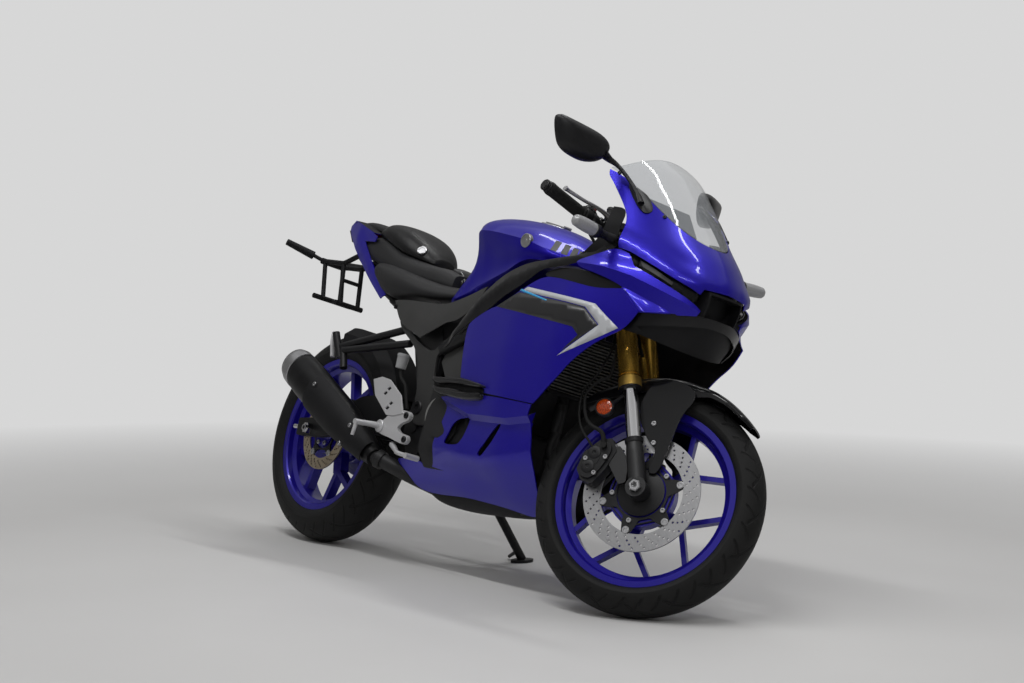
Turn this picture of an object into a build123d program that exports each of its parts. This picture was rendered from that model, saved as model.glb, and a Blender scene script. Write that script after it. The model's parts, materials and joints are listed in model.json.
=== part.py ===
"""A sport bike with a full fairing, parked on its side stand.

Every piece is drawn on the upright bike with the bars straight: X forward, Y to the rider's left, Z up,
millimetres, with the origin on the ground under the rear axle. The steered pieces then turn to the left
stop, and the whole bike leans onto its stand.
"""

import math
import os

from build123d import *

# ---- driving dimensions ------------------------------------------------------------------------------
WHEELBASE = 1380
CASTER = 25  # rake of the steering head, degrees from vertical
TRAIL = 95
STEER_STOP = 29.4  # each way from straight, degrees
LEAN = 16  # on the side stand, to the left

FRONT_TYRE_R = 293
FRONT_TYRE_W = 110
REAR_TYRE_R = 314
REAR_TYRE_W = 140
BEAD_R = 216  # 17 inch rims
LIP_R = 230
FRONT_RIM_HALF = 42.5
REAR_RIM_HALF = 55
RIM_WALL = 5
SEAT_GAP = 0.3  # between pieces that seat on each other

AXLE_R = 10
FORK_HALF = 98.7  # fork leg centres from the middle
FORK_OFFSET = 37.7  # leg plane ahead of the steering axis
INNER_TUBE_R = 18.5
OUTER_TUBE_R = 26
STEM_R = 16

FRONT_DISC_R = 149
REAR_DISC_R = 110
DISC_T = 4.5
FRONT_DISC_Y = -66
REAR_DISC_Y = -62
SPROCKET_R = 92
CHAIN_Y = 83
CHAIN_W = 14
CHAIN_H = 14  # height of the link plates
SPROCKET_T = 7
TOOTH_TIP = 3  # beyond the pitch circle
PANEL_T = 3  # body panels

# ---- places worked out from them ---------------------------------------------------------------------
FRONT_AXLE = Vector(WHEELBASE, 0, FRONT_TYRE_R)
REAR_AXLE = Vector(0, 0, REAR_TYRE_R)
STEER_FOOT = Vector(WHEELBASE + TRAIL, 0, 0)  # where the steering axis meets the ground
STEER_UP = Vector(-math.sin(math.radians(CASTER)), 0, math.cos(math.radians(CASTER)))
STEER_FORE = Vector(math.cos(math.radians(CASTER)), 0, math.sin(math.radians(CASTER)))
RIGHT, LEFT = -1, 1
ACROSS = Vector(0, 1, 0)

STEERED = Pos(STEER_FOOT) * Location((0, 0, 0), tuple(STEER_UP), STEER_STOP) * Pos(-STEER_FOOT)


def turned(place, direction):
    """A direction carried by a location."""
    return (place * Pos(direction)).position - place.position


def lowest(place, centre, axis, tyre_r, tyre_w):
    """Height of a leaning tyre's lowest point: a ring with a round crown."""
    crown = tyre_w / 2
    middle = (place * Pos(centre)).position
    tilt = turned(place, axis).Z
    return middle.Z - (tyre_r - crown) * math.sqrt(1 - tilt**2) - crown


def parked_place():
    """Lean the bike, then pitch it until both tyres touch the ground."""
    pitch = 0
    steered_axle = (STEERED * Pos(FRONT_AXLE)).position
    steered_across = turned(STEERED, ACROSS)
    for _ in range(12):
        place = Rot(-LEAN, 0, 0) * Rot(0, pitch, 0)
        front = lowest(place, steered_axle, steered_across, FRONT_TYRE_R, FRONT_TYRE_W)
        rear = lowest(place, REAR_AXLE, ACROSS, REAR_TYRE_R, REAR_TYRE_W)
        pitch += math.degrees((front - rear) / WHEELBASE)
    return Pos(0, 0, -rear) * place


PARKED = parked_place()
FLOOR = Plane(PARKED.inverse())  # the ground, seen from the upright bike


def on_leg(side, reach, fore=0):
    """A point on a fork leg, `reach` up from the axle and `fore` ahead of it."""
    return FRONT_AXLE + ACROSS * (side * FORK_HALF) + STEER_UP * reach + STEER_FORE * fore


def on_stem(reach):
    """A point on the steering axis, level with `reach` on the legs."""
    return FRONT_AXLE + STEER_UP * reach - STEER_FORE * FORK_OFFSET


# ---- shared operations -------------------------------------------------------------------------------
pieces = {}  # node name: (solid, body)


def keep(builder, name, body="frame"):
    """File a finished piece under its node's name and the body that it moves with."""
    builder.part.label = name
    pieces[name] = (builder.part, body)


def trim(*others):
    """Cut the piece being built back to the faces of finished ones that it meets."""
    for other in others:
        add(other.part, mode=Mode.SUBTRACT)


def rod(start, end, radius, end_radius=None, mode=Mode.ADD):
    """A round bar from one point to another, tapered where an end radius is given."""
    start, end = Vector(start), Vector(end)
    along = end - start
    with BuildSketch(Plane(origin=start, z_dir=along)) as near:
        Circle(radius)
    if end_radius is None:
        extrude(near.sketch, amount=along.length, mode=mode)
        return
    with BuildSketch(Plane(origin=end, z_dir=along)) as far:
        Circle(end_radius)
    loft([near.sketch, far.sketch], mode=mode)


def cross_rod(x, z, y_from, y_to, radius, mode=Mode.ADD):
    """A round bar across the bike."""
    rod((x, y_from, z), (x, y_to, z), radius, mode=mode)


def pipe(points, radius, bend, mode=Mode.ADD):
    """A bent tube, solid: straight runs joined by arcs of one radius."""
    with BuildLine() as path:
        FilletPolyline(*points, radius=bend)
    start = path.line @ 0
    with BuildSketch(Plane(origin=start, z_dir=path.line % 0)) as section:
        Circle(radius)
    sweep(section.sketch, path=path.line, mode=mode)


def side_plate(outline, y_from, y_to, corner=0, mode=Mode.ADD):
    """A plate seen from the side: (x, z) points, from one height across the bike to another."""
    with BuildSketch(Plane.XZ.offset(-y_from)) as face:
        with BuildLine():
            if corner:
                FilletPolyline(*outline, radius=corner, close=True)
            else:
                Polyline(*outline, close=True)
        make_face()
    extrude(face.sketch, amount=y_from - y_to, mode=mode)


def section_loft(stations, mode=Mode.ADD):
    """A body through sections across the bike.

    Each station is (x, [(y, z), ...]) for the left half, listed from the top to the bottom.
    """
    faces = []
    for x, half in stations:
        whole = list(half) + [(-y, z) for y, z in reversed(half) if y > 0]
        with BuildSketch(Plane.YZ.offset(x)) as section:
            with BuildLine():
                Polyline(*whole, close=True)
            make_face()
        faces.append(section.sketch)
    loft(faces, ruled=True, mode=mode)


def ring(centre, y_from, y_to, outer, inner, mode=Mode.ADD):
    """A flat ring round a wheel axis."""
    with BuildSketch(Plane.XZ.offset(-y_from)) as face:
        with Locations((centre.X, centre.Z)):
            Circle(outer)
            if inner:
                Circle(inner, mode=Mode.SUBTRACT)
    extrude(face.sketch, amount=y_from - y_to, mode=mode)


def strip(start, end, start_w, end_w):
    """Corners of a straight strip between two points of a sketch, tapering along it."""
    run = Vector(*end) - Vector(*start)
    normal = Vector(-run.Y, run.X).normalized()
    corners = []
    for point, width, side in ((start, start_w, 1), (end, end_w, 1), (end, end_w, -1), (start, start_w, -1)):
        corner = Vector(*point) + normal * (side * width / 2)
        corners.append((corner.X, corner.Y))
    return corners


# ---- wheels ------------------------------------------------------------------------------------------
def make_tyre(name, body, axle, tyre_r, tyre_w, rim_half):
    crown = tyre_w / 2
    shoulder = math.radians(80)
    shoulder_y = crown * math.sin(shoulder)
    shoulder_r = tyre_r - crown + crown * math.cos(shoulder)
    bead_y = rim_half - RIM_WALL - SEAT_GAP
    lip_r = LIP_R + 1
    with BuildPart() as tyre:
        with BuildSketch(Plane(origin=axle, x_dir=(0, 1, 0), z_dir=(1, 0, 0))) as section:
            with BuildLine():
                ThreePointArc((-shoulder_y, shoulder_r), (0, tyre_r), (shoulder_y, shoulder_r))
                side = ((shoulder_y + rim_half) / 2 + 3, (shoulder_r + lip_r) / 2)
                ThreePointArc((shoulder_y, shoulder_r), side, (rim_half, lip_r))
                Polyline(
                    (rim_half, lip_r),
                    (bead_y, lip_r),
                    (bead_y, BEAD_R + SEAT_GAP),
                    (-bead_y, BEAD_R + SEAT_GAP),
                    (-bead_y, lip_r),
                    (-rim_half, lip_r),
                )
                ThreePointArc((-rim_half, lip_r), (-side[0], side[1]), (-shoulder_y, shoulder_r))
            make_face()
        revolve(section.sketch, axis=Axis(axle, (0, 1, 0)))
    keep(tyre, name, body)


def make_rim(name, body, axle, rim_half, spokes, hub_r, hub_half, extra=None):
    """A cast rim. spokes: count, first angle, fork radius, splay angle, stem and arm widths, half depth."""
    count, first, fork_r, splay, stem_w, arm_w, depth = spokes
    barrel_r = BEAD_R - 16  # within the barrel's wall
    along, across = math.cos(math.radians(splay)), math.sin(math.radians(splay))
    arm = math.sqrt(barrel_r**2 - (fork_r * across) ** 2) - fork_r * along
    reach = (fork_r + arm * along, arm * across)
    with BuildPart() as rim:
        with BuildSketch(Plane(origin=axle, x_dir=(0, 1, 0), z_dir=(1, 0, 0))) as section:
            outer = (
                (rim_half, LIP_R),
                (rim_half - RIM_WALL, LIP_R),
                (rim_half - RIM_WALL, BEAD_R),
                (rim_half - 22, BEAD_R - 1),
                (rim_half - 27, BEAD_R - 14),
            )
            inner = (
                (rim_half - 26, BEAD_R - 20),
                (rim_half - 19, BEAD_R - 7),
                (rim_half - 4, BEAD_R - 5),
                (rim_half, BEAD_R - 1),
            )
            with BuildLine():
                loop = list(outer) + [(-y, r) for y, r in reversed(outer)]
                loop += [(-y, r) for y, r in reversed(inner)] + list(inner)
                Polyline(*loop, close=True)
            make_face()
        revolve(section.sketch, axis=Axis(axle, (0, 1, 0)))
        with BuildSketch(Plane(origin=axle, x_dir=(1, 0, 0), z_dir=(0, -1, 0))) as web:
            with PolarLocations(0, count, start_angle=first):
                Polygon(*strip((hub_r - 6, 0), (fork_r + 6, 0), stem_w, stem_w), align=None)
                Polygon(*strip((fork_r, 0), reach, arm_w, arm_w), align=None)
                Polygon(*strip((fork_r, 0), (reach[0], -reach[1]), arm_w, arm_w), align=None)
        extrude(web.sketch, amount=depth, both=True)
        ring(axle, -hub_half, hub_half, hub_r, 0)
        if extra:
            extra()
        cross_rod(axle.X, axle.Z, -200, 200, AXLE_R + 0.05, mode=Mode.SUBTRACT)
    keep(rim, name, body)


def make_disc(name, body, axle, y, radius, band, carrier_r, arm_count, first, arm_r, hub_r):
    """A brake disc: a flat band held by buttons on the arms of a carrier."""
    inner = radius - band
    half = DISC_T / 2
    with BuildPart() as disc:
        ring(axle, y - half, y + half, radius, inner)
        with BuildSketch(Plane(origin=axle, x_dir=(1, 0, 0), z_dir=(0, -1, 0)).offset(-y - half)) as arms:
            Circle(carrier_r)
            with PolarLocations(0, arm_count, start_angle=first):
                Polygon(*strip((carrier_r - 8, 0), (arm_r, 0), 26, 16), align=None)
            Circle(hub_r, mode=Mode.SUBTRACT)
        extrude(arms.sketch, amount=DISC_T)
        with BuildSketch(Plane(origin=axle, x_dir=(1, 0, 0), z_dir=(0, -1, 0)).offset(-y - half - 1.5)) as buttons:
            with PolarLocations(arm_r, arm_count, start_angle=first):
                Circle(10)
        extrude(buttons.sketch, amount=DISC_T + 3)
    keep(disc, name, body)


make_tyre("front_tyre", "front_wheel", FRONT_AXLE, FRONT_TYRE_R, FRONT_TYRE_W, FRONT_RIM_HALF)
make_tyre("rear_tyre", "rear_wheel", REAR_AXLE, REAR_TYRE_R, REAR_TYRE_W, REAR_RIM_HALF)

FRONT_HUB_HALF = 46
REAR_HUB_HALF = 48
DISC_SEAT_R = 58


def front_disc_seat():
    ring(FRONT_AXLE, FRONT_DISC_Y + DISC_T / 2 + SEAT_GAP, -FRONT_HUB_HALF + 12, DISC_SEAT_R + 26, 0)
    ring(FRONT_AXLE, FRONT_DISC_Y - DISC_T / 2 - 2, -FRONT_HUB_HALF, DISC_SEAT_R - SEAT_GAP, 0)


def rear_disc_seat():
    ring(REAR_AXLE, REAR_DISC_Y + DISC_T / 2 + SEAT_GAP, -REAR_HUB_HALF + 12, DISC_SEAT_R + 2, 0)
    ring(REAR_AXLE, REAR_DISC_Y - DISC_T / 2 - 2, -REAR_HUB_HALF, DISC_SEAT_R - 16 - SEAT_GAP, 0)
    ring(REAR_AXLE, CHAIN_Y - SPROCKET_T / 2 - SEAT_GAP, REAR_HUB_HALF - 12, DISC_SEAT_R + 8, 0)


FRONT_SPOKES = (5, -20, 108, 44, 26, 13, 11)
REAR_SPOKES = (5, -70, 104, 38, 40, 17, 14)
make_rim("front_rim", "front_wheel", FRONT_AXLE, FRONT_RIM_HALF, FRONT_SPOKES, 46, FRONT_HUB_HALF, front_disc_seat)
make_rim("rear_rim", "rear_wheel", REAR_AXLE, REAR_RIM_HALF, REAR_SPOKES, 56, REAR_HUB_HALF, rear_disc_seat)
make_disc("front_disc", "front_wheel", FRONT_AXLE, FRONT_DISC_Y, FRONT_DISC_R, 44, 84, 6, 27, 98.6, DISC_SEAT_R)
make_disc("rear_disc", "rear_wheel", REAR_AXLE, REAR_DISC_Y, REAR_DISC_R, 36, 60, 5, 20, 72, DISC_SEAT_R - 16)

SPROCKET_TEETH = 43
with BuildPart() as sprocket:
    with BuildSketch(Plane(origin=REAR_AXLE, x_dir=(1, 0, 0), z_dir=(0, -1, 0)).offset(-CHAIN_Y - SPROCKET_T / 2)) as plate:
        Circle(SPROCKET_R - 4)
        with PolarLocations(0, SPROCKET_TEETH):
            Polygon(*strip((SPROCKET_R - 8, 0), (SPROCKET_R + TOOTH_TIP, 0), 8, 3.4), align=None)
        with PolarLocations(66, 5):
            Circle(11, mode=Mode.SUBTRACT)
        Circle(34, mode=Mode.SUBTRACT)
    extrude(plate.sketch, amount=SPROCKET_T)
keep(sprocket, "rear_sprocket", "rear_wheel")

# ---- fork and bars -----------------------------------------------------------------------------------
LUG_TOP = 127
SEAL_BOTTOM = 268
LOWER_CLAMP = (500, 540)
CLIP_ON = (655, 690)
UPPER_CLAMP = (698, 716)
TUBE_TOP = 722
LUG_R = 22

with BuildPart() as fork_lowers:
    for side in (RIGHT, LEFT):
        rod(on_leg(side, 30), on_leg(side, SEAL_BOTTOM + 40), INNER_TUBE_R)
        rod(on_leg(side, 18), on_leg(side, LUG_TOP - 30), LUG_R)
        rod(on_leg(side, LUG_TOP - 30), on_leg(side, LUG_TOP), LUG_R, INNER_TUBE_R + 1)
        cross_rod(FRONT_AXLE.X, FRONT_AXLE.Z, side * (FORK_HALF - 20), side * (FORK_HALF + 21), 26)
    cross_rod(FRONT_AXLE.X, FRONT_AXLE.Z, -200, 200, AXLE_R + 0.1, mode=Mode.SUBTRACT)
    CALIPER_EAR = [(1290, 330), (1262, 356), (1262, 372), (1300, 384), (1336, 350), (1345, 300), (1330, 290)]
    side_plate(CALIPER_EAR, -104, -92, corner=6)
    rod(on_leg(RIGHT, 18), on_leg(RIGHT, LUG_TOP - 30), LUG_R)
keep(fork_lowers, "fork_lowers", "steering")

with BuildPart() as fork_uppers:
    for side in (RIGHT, LEFT):
        rod(on_leg(side, SEAL_BOTTOM), on_leg(side, TUBE_TOP), OUTER_TUBE_R)
        rod(on_leg(side, SEAL_BOTTOM), on_leg(side, SEAL_BOTTOM + 24), OUTER_TUBE_R + 3)
        rod(on_leg(side, TUBE_TOP), on_leg(side, TUBE_TOP + 8), 14)
        rod(on_leg(side, SEAL_BOTTOM - 1), on_leg(side, SEAL_BOTTOM + 41), INNER_TUBE_R + 0.1, mode=Mode.SUBTRACT)
keep(fork_uppers, "fork_outers", "steering")

with BuildPart() as clamps:
    for low, high in (LOWER_CLAMP, UPPER_CLAMP):
        with BuildSketch(Plane(origin=on_stem(low), x_dir=STEER_FORE, z_dir=STEER_UP)) as shape:
            with Locations((FORK_OFFSET, FORK_HALF), (FORK_OFFSET, -FORK_HALF)):
                Circle(OUTER_TUBE_R + 9)
            Circle(OUTER_TUBE_R + 4)
            make_hull()
        extrude(shape.sketch, amount=high - low)
    for side in (RIGHT, LEFT):
        rod(on_leg(side, LOWER_CLAMP[0] - 5), on_leg(side, TUBE_TOP + 5), OUTER_TUBE_R + 0.1, mode=Mode.SUBTRACT)
    rod(on_stem(LOWER_CLAMP[0] - 12), on_stem(UPPER_CLAMP[1] + 6), STEM_R)
    rod(on_stem(LOWER_CLAMP[0] - 20), on_stem(LOWER_CLAMP[0] + 30), 8.5, mode=Mode.SUBTRACT)
keep(clamps, "fork_clamps", "steering")

BAR_R = 11
GRIP_R = 16.5
GRIP_LENGTH = 122
BAR_WEIGHT = 16
BAR_ROOT = on_leg(RIGHT, (CLIP_ON[0] + CLIP_ON[1]) / 2) + Vector(-8, -26, 0)
BAR_END = Vector(960, -348, 921)
BAR_RUN = (BAR_END - BAR_ROOT).normalized()
BAR_LENGTH = (BAR_END - BAR_ROOT).length


def on_bar(reach):
    """A point on the right bar, from its root."""
    return BAR_ROOT + BAR_RUN * reach


GRIP_FROM = BAR_LENGTH - BAR_WEIGHT - GRIP_LENGTH

with BuildPart() as bars:
    rod(on_leg(RIGHT, CLIP_ON[0]), on_leg(RIGHT, CLIP_ON[1]), OUTER_TUBE_R + 9)
    rod(on_bar(-6), on_bar(30), BAR_R + 5)
    rod(on_bar(0), on_bar(BAR_LENGTH - 2), BAR_R)
    rod(on_bar(BAR_LENGTH - BAR_WEIGHT + SEAT_GAP), on_bar(BAR_LENGTH), GRIP_R - 2, GRIP_R - 4)
    rod(on_leg(RIGHT, CLIP_ON[0] - 5), on_leg(RIGHT, CLIP_ON[1] + 5), OUTER_TUBE_R + 0.1, mode=Mode.SUBTRACT)
    mirror(about=Plane.XZ)
keep(bars, "handlebars", "steering")

with BuildPart() as grips:
    rod(on_bar(GRIP_FROM), on_bar(BAR_LENGTH - BAR_WEIGHT), GRIP_R)
    rod(on_bar(GRIP_FROM), on_bar(GRIP_FROM + 6), GRIP_R + 5)
    rod(on_bar(GRIP_FROM - 1), on_bar(BAR_LENGTH), BAR_R + 0.1, mode=Mode.SUBTRACT)
    mirror(about=Plane.XZ)
keep(grips, "grips", "steering")

SWITCH_LENGTH = 46
LEVER_FORE = Vector(46, 8, -6)
with BuildPart() as hand_controls:
    rod(on_bar(GRIP_FROM - SWITCH_LENGTH), on_bar(GRIP_FROM - 1), 21)
    rod(on_bar(GRIP_FROM - 78), on_bar(GRIP_FROM - SWITCH_LENGTH), 17)
    pivot = on_bar(GRIP_FROM - 62) + LEVER_FORE
    rod(on_bar(GRIP_FROM - 62) + LEVER_FORE * 0.2, pivot, 13)
    rod(pivot - Vector(0, 0, 14), pivot + Vector(0, 0, 14), 12)
    pipe(
        [
            pivot,
            on_bar(GRIP_FROM - 20) + LEVER_FORE * 1.35,
            on_bar(GRIP_FROM + 40) + LEVER_FORE * 1.25,
            on_bar(BAR_LENGTH - 30) + LEVER_FORE * 1.5,
        ],
        6,
        40,
    )
    rod(on_bar(GRIP_FROM - 80), on_bar(BAR_LENGTH), BAR_R + 0.1, mode=Mode.SUBTRACT)
    mirror(about=Plane.XZ)
    reservoir = on_bar(GRIP_FROM - 66) + Vector(34, 0, 14)
    rod(reservoir, reservoir + Vector(0, 0, 30), 15)
    rod(reservoir + Vector(-26, 0, 4), reservoir + Vector(0, 0, 4), 8)
    trim(bars)
keep(hand_controls, "hand_controls", "steering")

FENDER_R = 318
FENDER_T = 4
FENDER_HALF = 64
FENDER_FROM, FENDER_TO = 50, 137
with BuildPart() as fender:
    with BuildSketch(Plane(origin=FRONT_AXLE, x_dir=(0, 1, 0), z_dir=(1, 0, 0))) as arch:
        with BuildLine():
            Polyline(
                (-FENDER_HALF, FENDER_R - 48),
                (-FENDER_HALF, FENDER_R - 26),
                (-34, FENDER_R - 4),
                (0, FENDER_R),
                (34, FENDER_R - 4),
                (FENDER_HALF, FENDER_R - 26),
                (FENDER_HALF, FENDER_R - 48),
                (FENDER_HALF - FENDER_T, FENDER_R - 48),
                (FENDER_HALF - FENDER_T, FENDER_R - 28),
                (33, FENDER_R - 4 - FENDER_T),
                (0, FENDER_R - FENDER_T),
                (-33, FENDER_R - 4 - FENDER_T),
                (-FENDER_HALF + FENDER_T, FENDER_R - 28),
                (-FENDER_HALF + FENDER_T, FENDER_R - 48),
                close=True,
            )
        make_face()
    spin = Axis(FRONT_AXLE, (0, -1, 0))
    revolve(arch.sketch.rotate(spin, FENDER_FROM - 90), axis=spin, revolution_arc=FENDER_TO - FENDER_FROM)
    for side in (RIGHT, LEFT):
        stay = [(1300, 530), (1326, 582), (1408, 582), (1384, 470), (1366, 385), (1352, 352), (1332, 356), (1342, 400),
                (1332, 460)]
        stay_out = FORK_HALF - LUG_R - SEAT_GAP
        side_plate(stay, side * (stay_out - PANEL_T), side * stay_out, corner=5)
        cross_rod(1342, 570, side * (FENDER_HALF - 1), side * (stay_out - 1), 7)
        cross_rod(1392, 572, side * (FENDER_HALF - 1), side * (stay_out - 1), 7)
keep(fender, "front_fender", "steering")

CALIPER = [(1212, 300), (1215, 345), (1246, 388), (1274, 398), (1296, 372), (1284, 318), (1262, 272), (1232, 276)]
with BuildPart() as caliper:
    side_plate(CALIPER, -106, -42, corner=9)
    ring(FRONT_AXLE, FRONT_DISC_Y - 5, FRONT_DISC_Y + 5, FRONT_DISC_R + 5, 0, mode=Mode.SUBTRACT)
    side_plate(CALIPER_EAR, -104 - SEAT_GAP, -92 + SEAT_GAP, corner=6, mode=Mode.SUBTRACT)
    cross_rod(1245, 335, -112, -104, 17)
keep(caliper, "front_caliper", "steering")

with BuildPart() as front_axle:
    cross_rod(FRONT_AXLE.X, FRONT_AXLE.Z, -FORK_HALF - 27, FORK_HALF + 24, AXLE_R)
    cross_rod(FRONT_AXLE.X, FRONT_AXLE.Z, FORK_HALF + 21 + SEAT_GAP, FORK_HALF + 30, 15)
    cross_rod(FRONT_AXLE.X, FRONT_AXLE.Z, -FORK_HALF - 28, FORK_HALF + 40, 6, mode=Mode.SUBTRACT)
    for side in (RIGHT, LEFT):
        spacer = side * (FRONT_HUB_HALF + SEAT_GAP)
        if side == RIGHT:
            spacer = FRONT_DISC_Y - DISC_T / 2 - 2 - SEAT_GAP
        ring(FRONT_AXLE, spacer, side * (FORK_HALF - 20 - SEAT_GAP), 16, 6)
keep(front_axle, "front_axle", "steering")

REFLECTOR = on_leg(RIGHT, 232, -44)
with BuildPart() as reflectors:
    rod(REFLECTOR + Vector(0, -6, 0), REFLECTOR + Vector(0, -18, 0), 23)
    rod(REFLECTOR + Vector(0, -6, 0), on_leg(RIGHT, 250, -INNER_TUBE_R - 1) + Vector(0, -4, 0), 4)
    mirror(about=Plane.XZ)
    trim(fork_lowers)
keep(reflectors, "fork_reflectors", "steering")

# ---- frame -------------------------------------------------------------------------------------------
HEAD_LOW, HEAD_HIGH = LOWER_CLAMP[1] + 4, UPPER_CLAMP[0] - 4
PIVOT = Vector(470, 0, 372)  # swingarm pivot
SPAR_R = 16
SPAR_Y = 126
PLATE_Y = 118  # pivot plates' outer face
PLATE_T = 14
with BuildPart() as main_frame:
    rod(on_stem(HEAD_LOW), on_stem(HEAD_HIGH), 29)
    for side in (RIGHT, LEFT):
        for path in (
            [on_stem(HEAD_HIGH - 48) + ACROSS * side * 20, (900, side * SPAR_Y, 735), (560, side * (SPAR_Y - 8), 592)],
            [on_stem(HEAD_LOW + 52) + ACROSS * side * 20, (1000, side * (SPAR_Y - 6), 700), (930, side * SPAR_Y, 584)],
        ):
            pipe(path, SPAR_R, 60)
        rod((915, side * SPAR_Y, 738), (930, side * SPAR_Y, 580), 12)
        rod((930, side * SPAR_Y, 584), (700, side * SPAR_Y, 650), 12)
        side_plate(
            [(400, 640), (440, 700), (474, 730), (502, 712), (560, 600), (560, 470), (586, 400), (560, 290), (510, 288), (470, 350), (486, 470)],
            side * (PLATE_Y - PLATE_T),
            side * PLATE_Y,
            corner=10,
        )
        side_plate([(530, 560), (545, 610), (690, 672), (700, 645)], side * 100, side * 124)
    cross_rod(474, 712, -110, 110, 13)
    cross_rod(548, 290, -110, 110, 12)
    rod(on_stem(HEAD_LOW - 5), on_stem(HEAD_HIGH + 5), STEM_R + 0.1, mode=Mode.SUBTRACT)
    cross_rod(PIVOT.X + 40, PIVOT.Z, -PLATE_Y - 4, -PLATE_Y + PLATE_T, 22)
keep(main_frame, "main_frame")

with BuildPart() as subframe:
    for side in (RIGHT, LEFT):
        pipe([(480, side * 98, 690), (300, side * 86, 694), (100, side * 70, 772), (-60, side * 52, 860)], 12, 80)
        rod((430, side * 106, 640), (200, side * 80, 728), 10)
    cross_rod(250, 712, -84, 84, 10)
    cross_rod(-20, 836, -58, 58, 10)
    trim(main_frame)
keep(subframe, "subframe")

# ---- engine ------------------------------------------------------------------------------------------
CASE_HALF = 150
with BuildPart() as engine:
    side_plate(
        [(600, 310), (606, 470), (700, 510), (860, 470), (930, 400), (930, 310), (880, 262), (650, 262)],
        -CASE_HALF, CASE_HALF, corner=18,
    )
    side_plate([(760, 480), (820, 700), (950, 680), (985, 520), (920, 400)], -104, 104, corner=14)
    side_plate([(660, 206), (660, 270), (860, 270), (850, 206)], -62, 62, corner=12)
    ring(Vector(712, 0, 394), -CASE_HALF - 24, -CASE_HALF, 74, 0)
    ring(Vector(712, 0, 394), -CASE_HALF - 32, -CASE_HALF - 24, 50, 0)
    ring(Vector(850, 0, 372), CASE_HALF, CASE_HALF + 24, 66, 0)
    ring(Vector(660, 0, 380), CASE_HALF, CASE_HALF + 8, 44, 0)
    side_plate([(560, 300), (560, 430), (654, 430), (654, 300)], CHAIN_Y - 14, CASE_HALF - 8, mode=Mode.SUBTRACT)
keep(engine, "engine")

with BuildPart() as radiator:
    side_plate([(1092, 668), (1066, 672), (1060, 516), (1086, 512)], -150, 150)
    for side in (RIGHT, LEFT):
        side_plate([(1096, 672), (1060, 678), (1054, 510), (1092, 506)], side * 150, side * 166)
        rod((1070, side * 146, 664), (1002, side * 120, 700), 7)
    trim(main_frame)
keep(radiator, "radiator")

PIPE_R = 18
MUFFLER_R = 58
MUFFLER_FRONT = Vector(430, -160, 262)
MUFFLER_REAR = Vector(-95, -190, 508)
MUFFLER_RUN = (MUFFLER_REAR - MUFFLER_FRONT).normalized()


def on_muffler(reach):
    return MUFFLER_FRONT + MUFFLER_RUN * reach


MUFFLER_LENGTH = (MUFFLER_REAR - MUFFLER_FRONT).length
with BuildPart() as muffler:
    stations = ((0, 30, 30), (90, 44, 48), (200, 50, 60), (430, 54, 66), (MUFFLER_LENGTH, 46, 58))
    faces = []
    for reach, half_w, half_h in stations:
        with BuildSketch(Plane(origin=on_muffler(reach), x_dir=ACROSS, z_dir=MUFFLER_RUN)) as oval:
            Ellipse(half_w, half_h)
        faces.append(oval.sketch)
    loft(faces, ruled=True)
    rod(on_muffler(MUFFLER_LENGTH - 60), on_muffler(MUFFLER_LENGTH + 5), 22, mode=Mode.SUBTRACT)
keep(muffler, "muffler")

with BuildPart() as exhaust:
    for y in (-45, 45):
        pipe([(960, y, 592), (1030, y, 572), (1028, y * 0.9, 240), (910, y * 0.5, 184), (760, -20, 180)], PIPE_R, 40)
    pipe([(780, -20, 180), (650, -40, 180), (530, -112, 208), (420, -158, 268)], 22, 90)
    trim(engine, muffler)
keep(exhaust, "exhaust_pipes")

# ---- rear end ----------------------------------------------------------------------------------------
ARM_IN, ARM_OUT = 94, 118  # faces of the swingarm's legs
with BuildPart() as swingarm:
    pivot_half = PLATE_Y - PLATE_T - SEAT_GAP
    cross_rod(PIVOT.X, PIVOT.Z, -pivot_half, pivot_half, 20)
    for side in (RIGHT, LEFT):
        arm = [(415, 330), (240, 330), (40, 296), (-70, 290), (-74, 342), (40, 352), (230, 432), (330, 446), (415, 412)]
        side_plate(arm, side * ARM_IN, side * ARM_OUT, corner=8)
    side_plate([(328, 322), (328, 390), (415, 390), (415, 322)], -ARM_IN - 1, ARM_IN + 1, corner=6)
    side_plate([(400, 340), (400, 388), (486, 388), (486, 356)], -60, 60)
    for side in (RIGHT, LEFT):
        side_plate([(372, 385), (376, 446), (404, 446), (412, 385)], side * 14, side * 24)
    cross_rod(0, REAR_AXLE.Z, -200, 200, AXLE_R + 0.1, mode=Mode.SUBTRACT)
keep(swingarm, "swingarm")

with BuildPart() as rear_axle:
    cross_rod(0, REAR_AXLE.Z, -ARM_OUT - 24, ARM_OUT + 10, AXLE_R)
    with BuildSketch(Plane.XZ.offset(ARM_OUT + SEAT_GAP)) as nut:
        with Locations((0, REAR_AXLE.Z)):
            RegularPolygon(17, 6)
    extrude(nut.sketch, amount=18)
    cross_rod(0, REAR_AXLE.Z, ARM_OUT + SEAT_GAP, ARM_OUT + 10, 16)
    for side, start in ((RIGHT, REAR_DISC_Y - DISC_T / 2 - 2 - SEAT_GAP), (LEFT, CHAIN_Y + SPROCKET_T / 2 + SEAT_GAP)):
        ring(REAR_AXLE, start, side * (ARM_IN - SEAT_GAP), 16, AXLE_R - 0.5)
    cross_rod(0, REAR_AXLE.Z, -ARM_OUT - 60, ARM_OUT + 60, 6, mode=Mode.SUBTRACT)
    for side in (RIGHT, LEFT):
        arm_y = side * (ARM_IN + ARM_OUT) / 2
        rod((-73, arm_y, REAR_AXLE.Z + 2), (-104, arm_y, REAR_AXLE.Z + 2), 7)
    trim(swingarm)
keep(rear_axle, "rear_axle")

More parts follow.
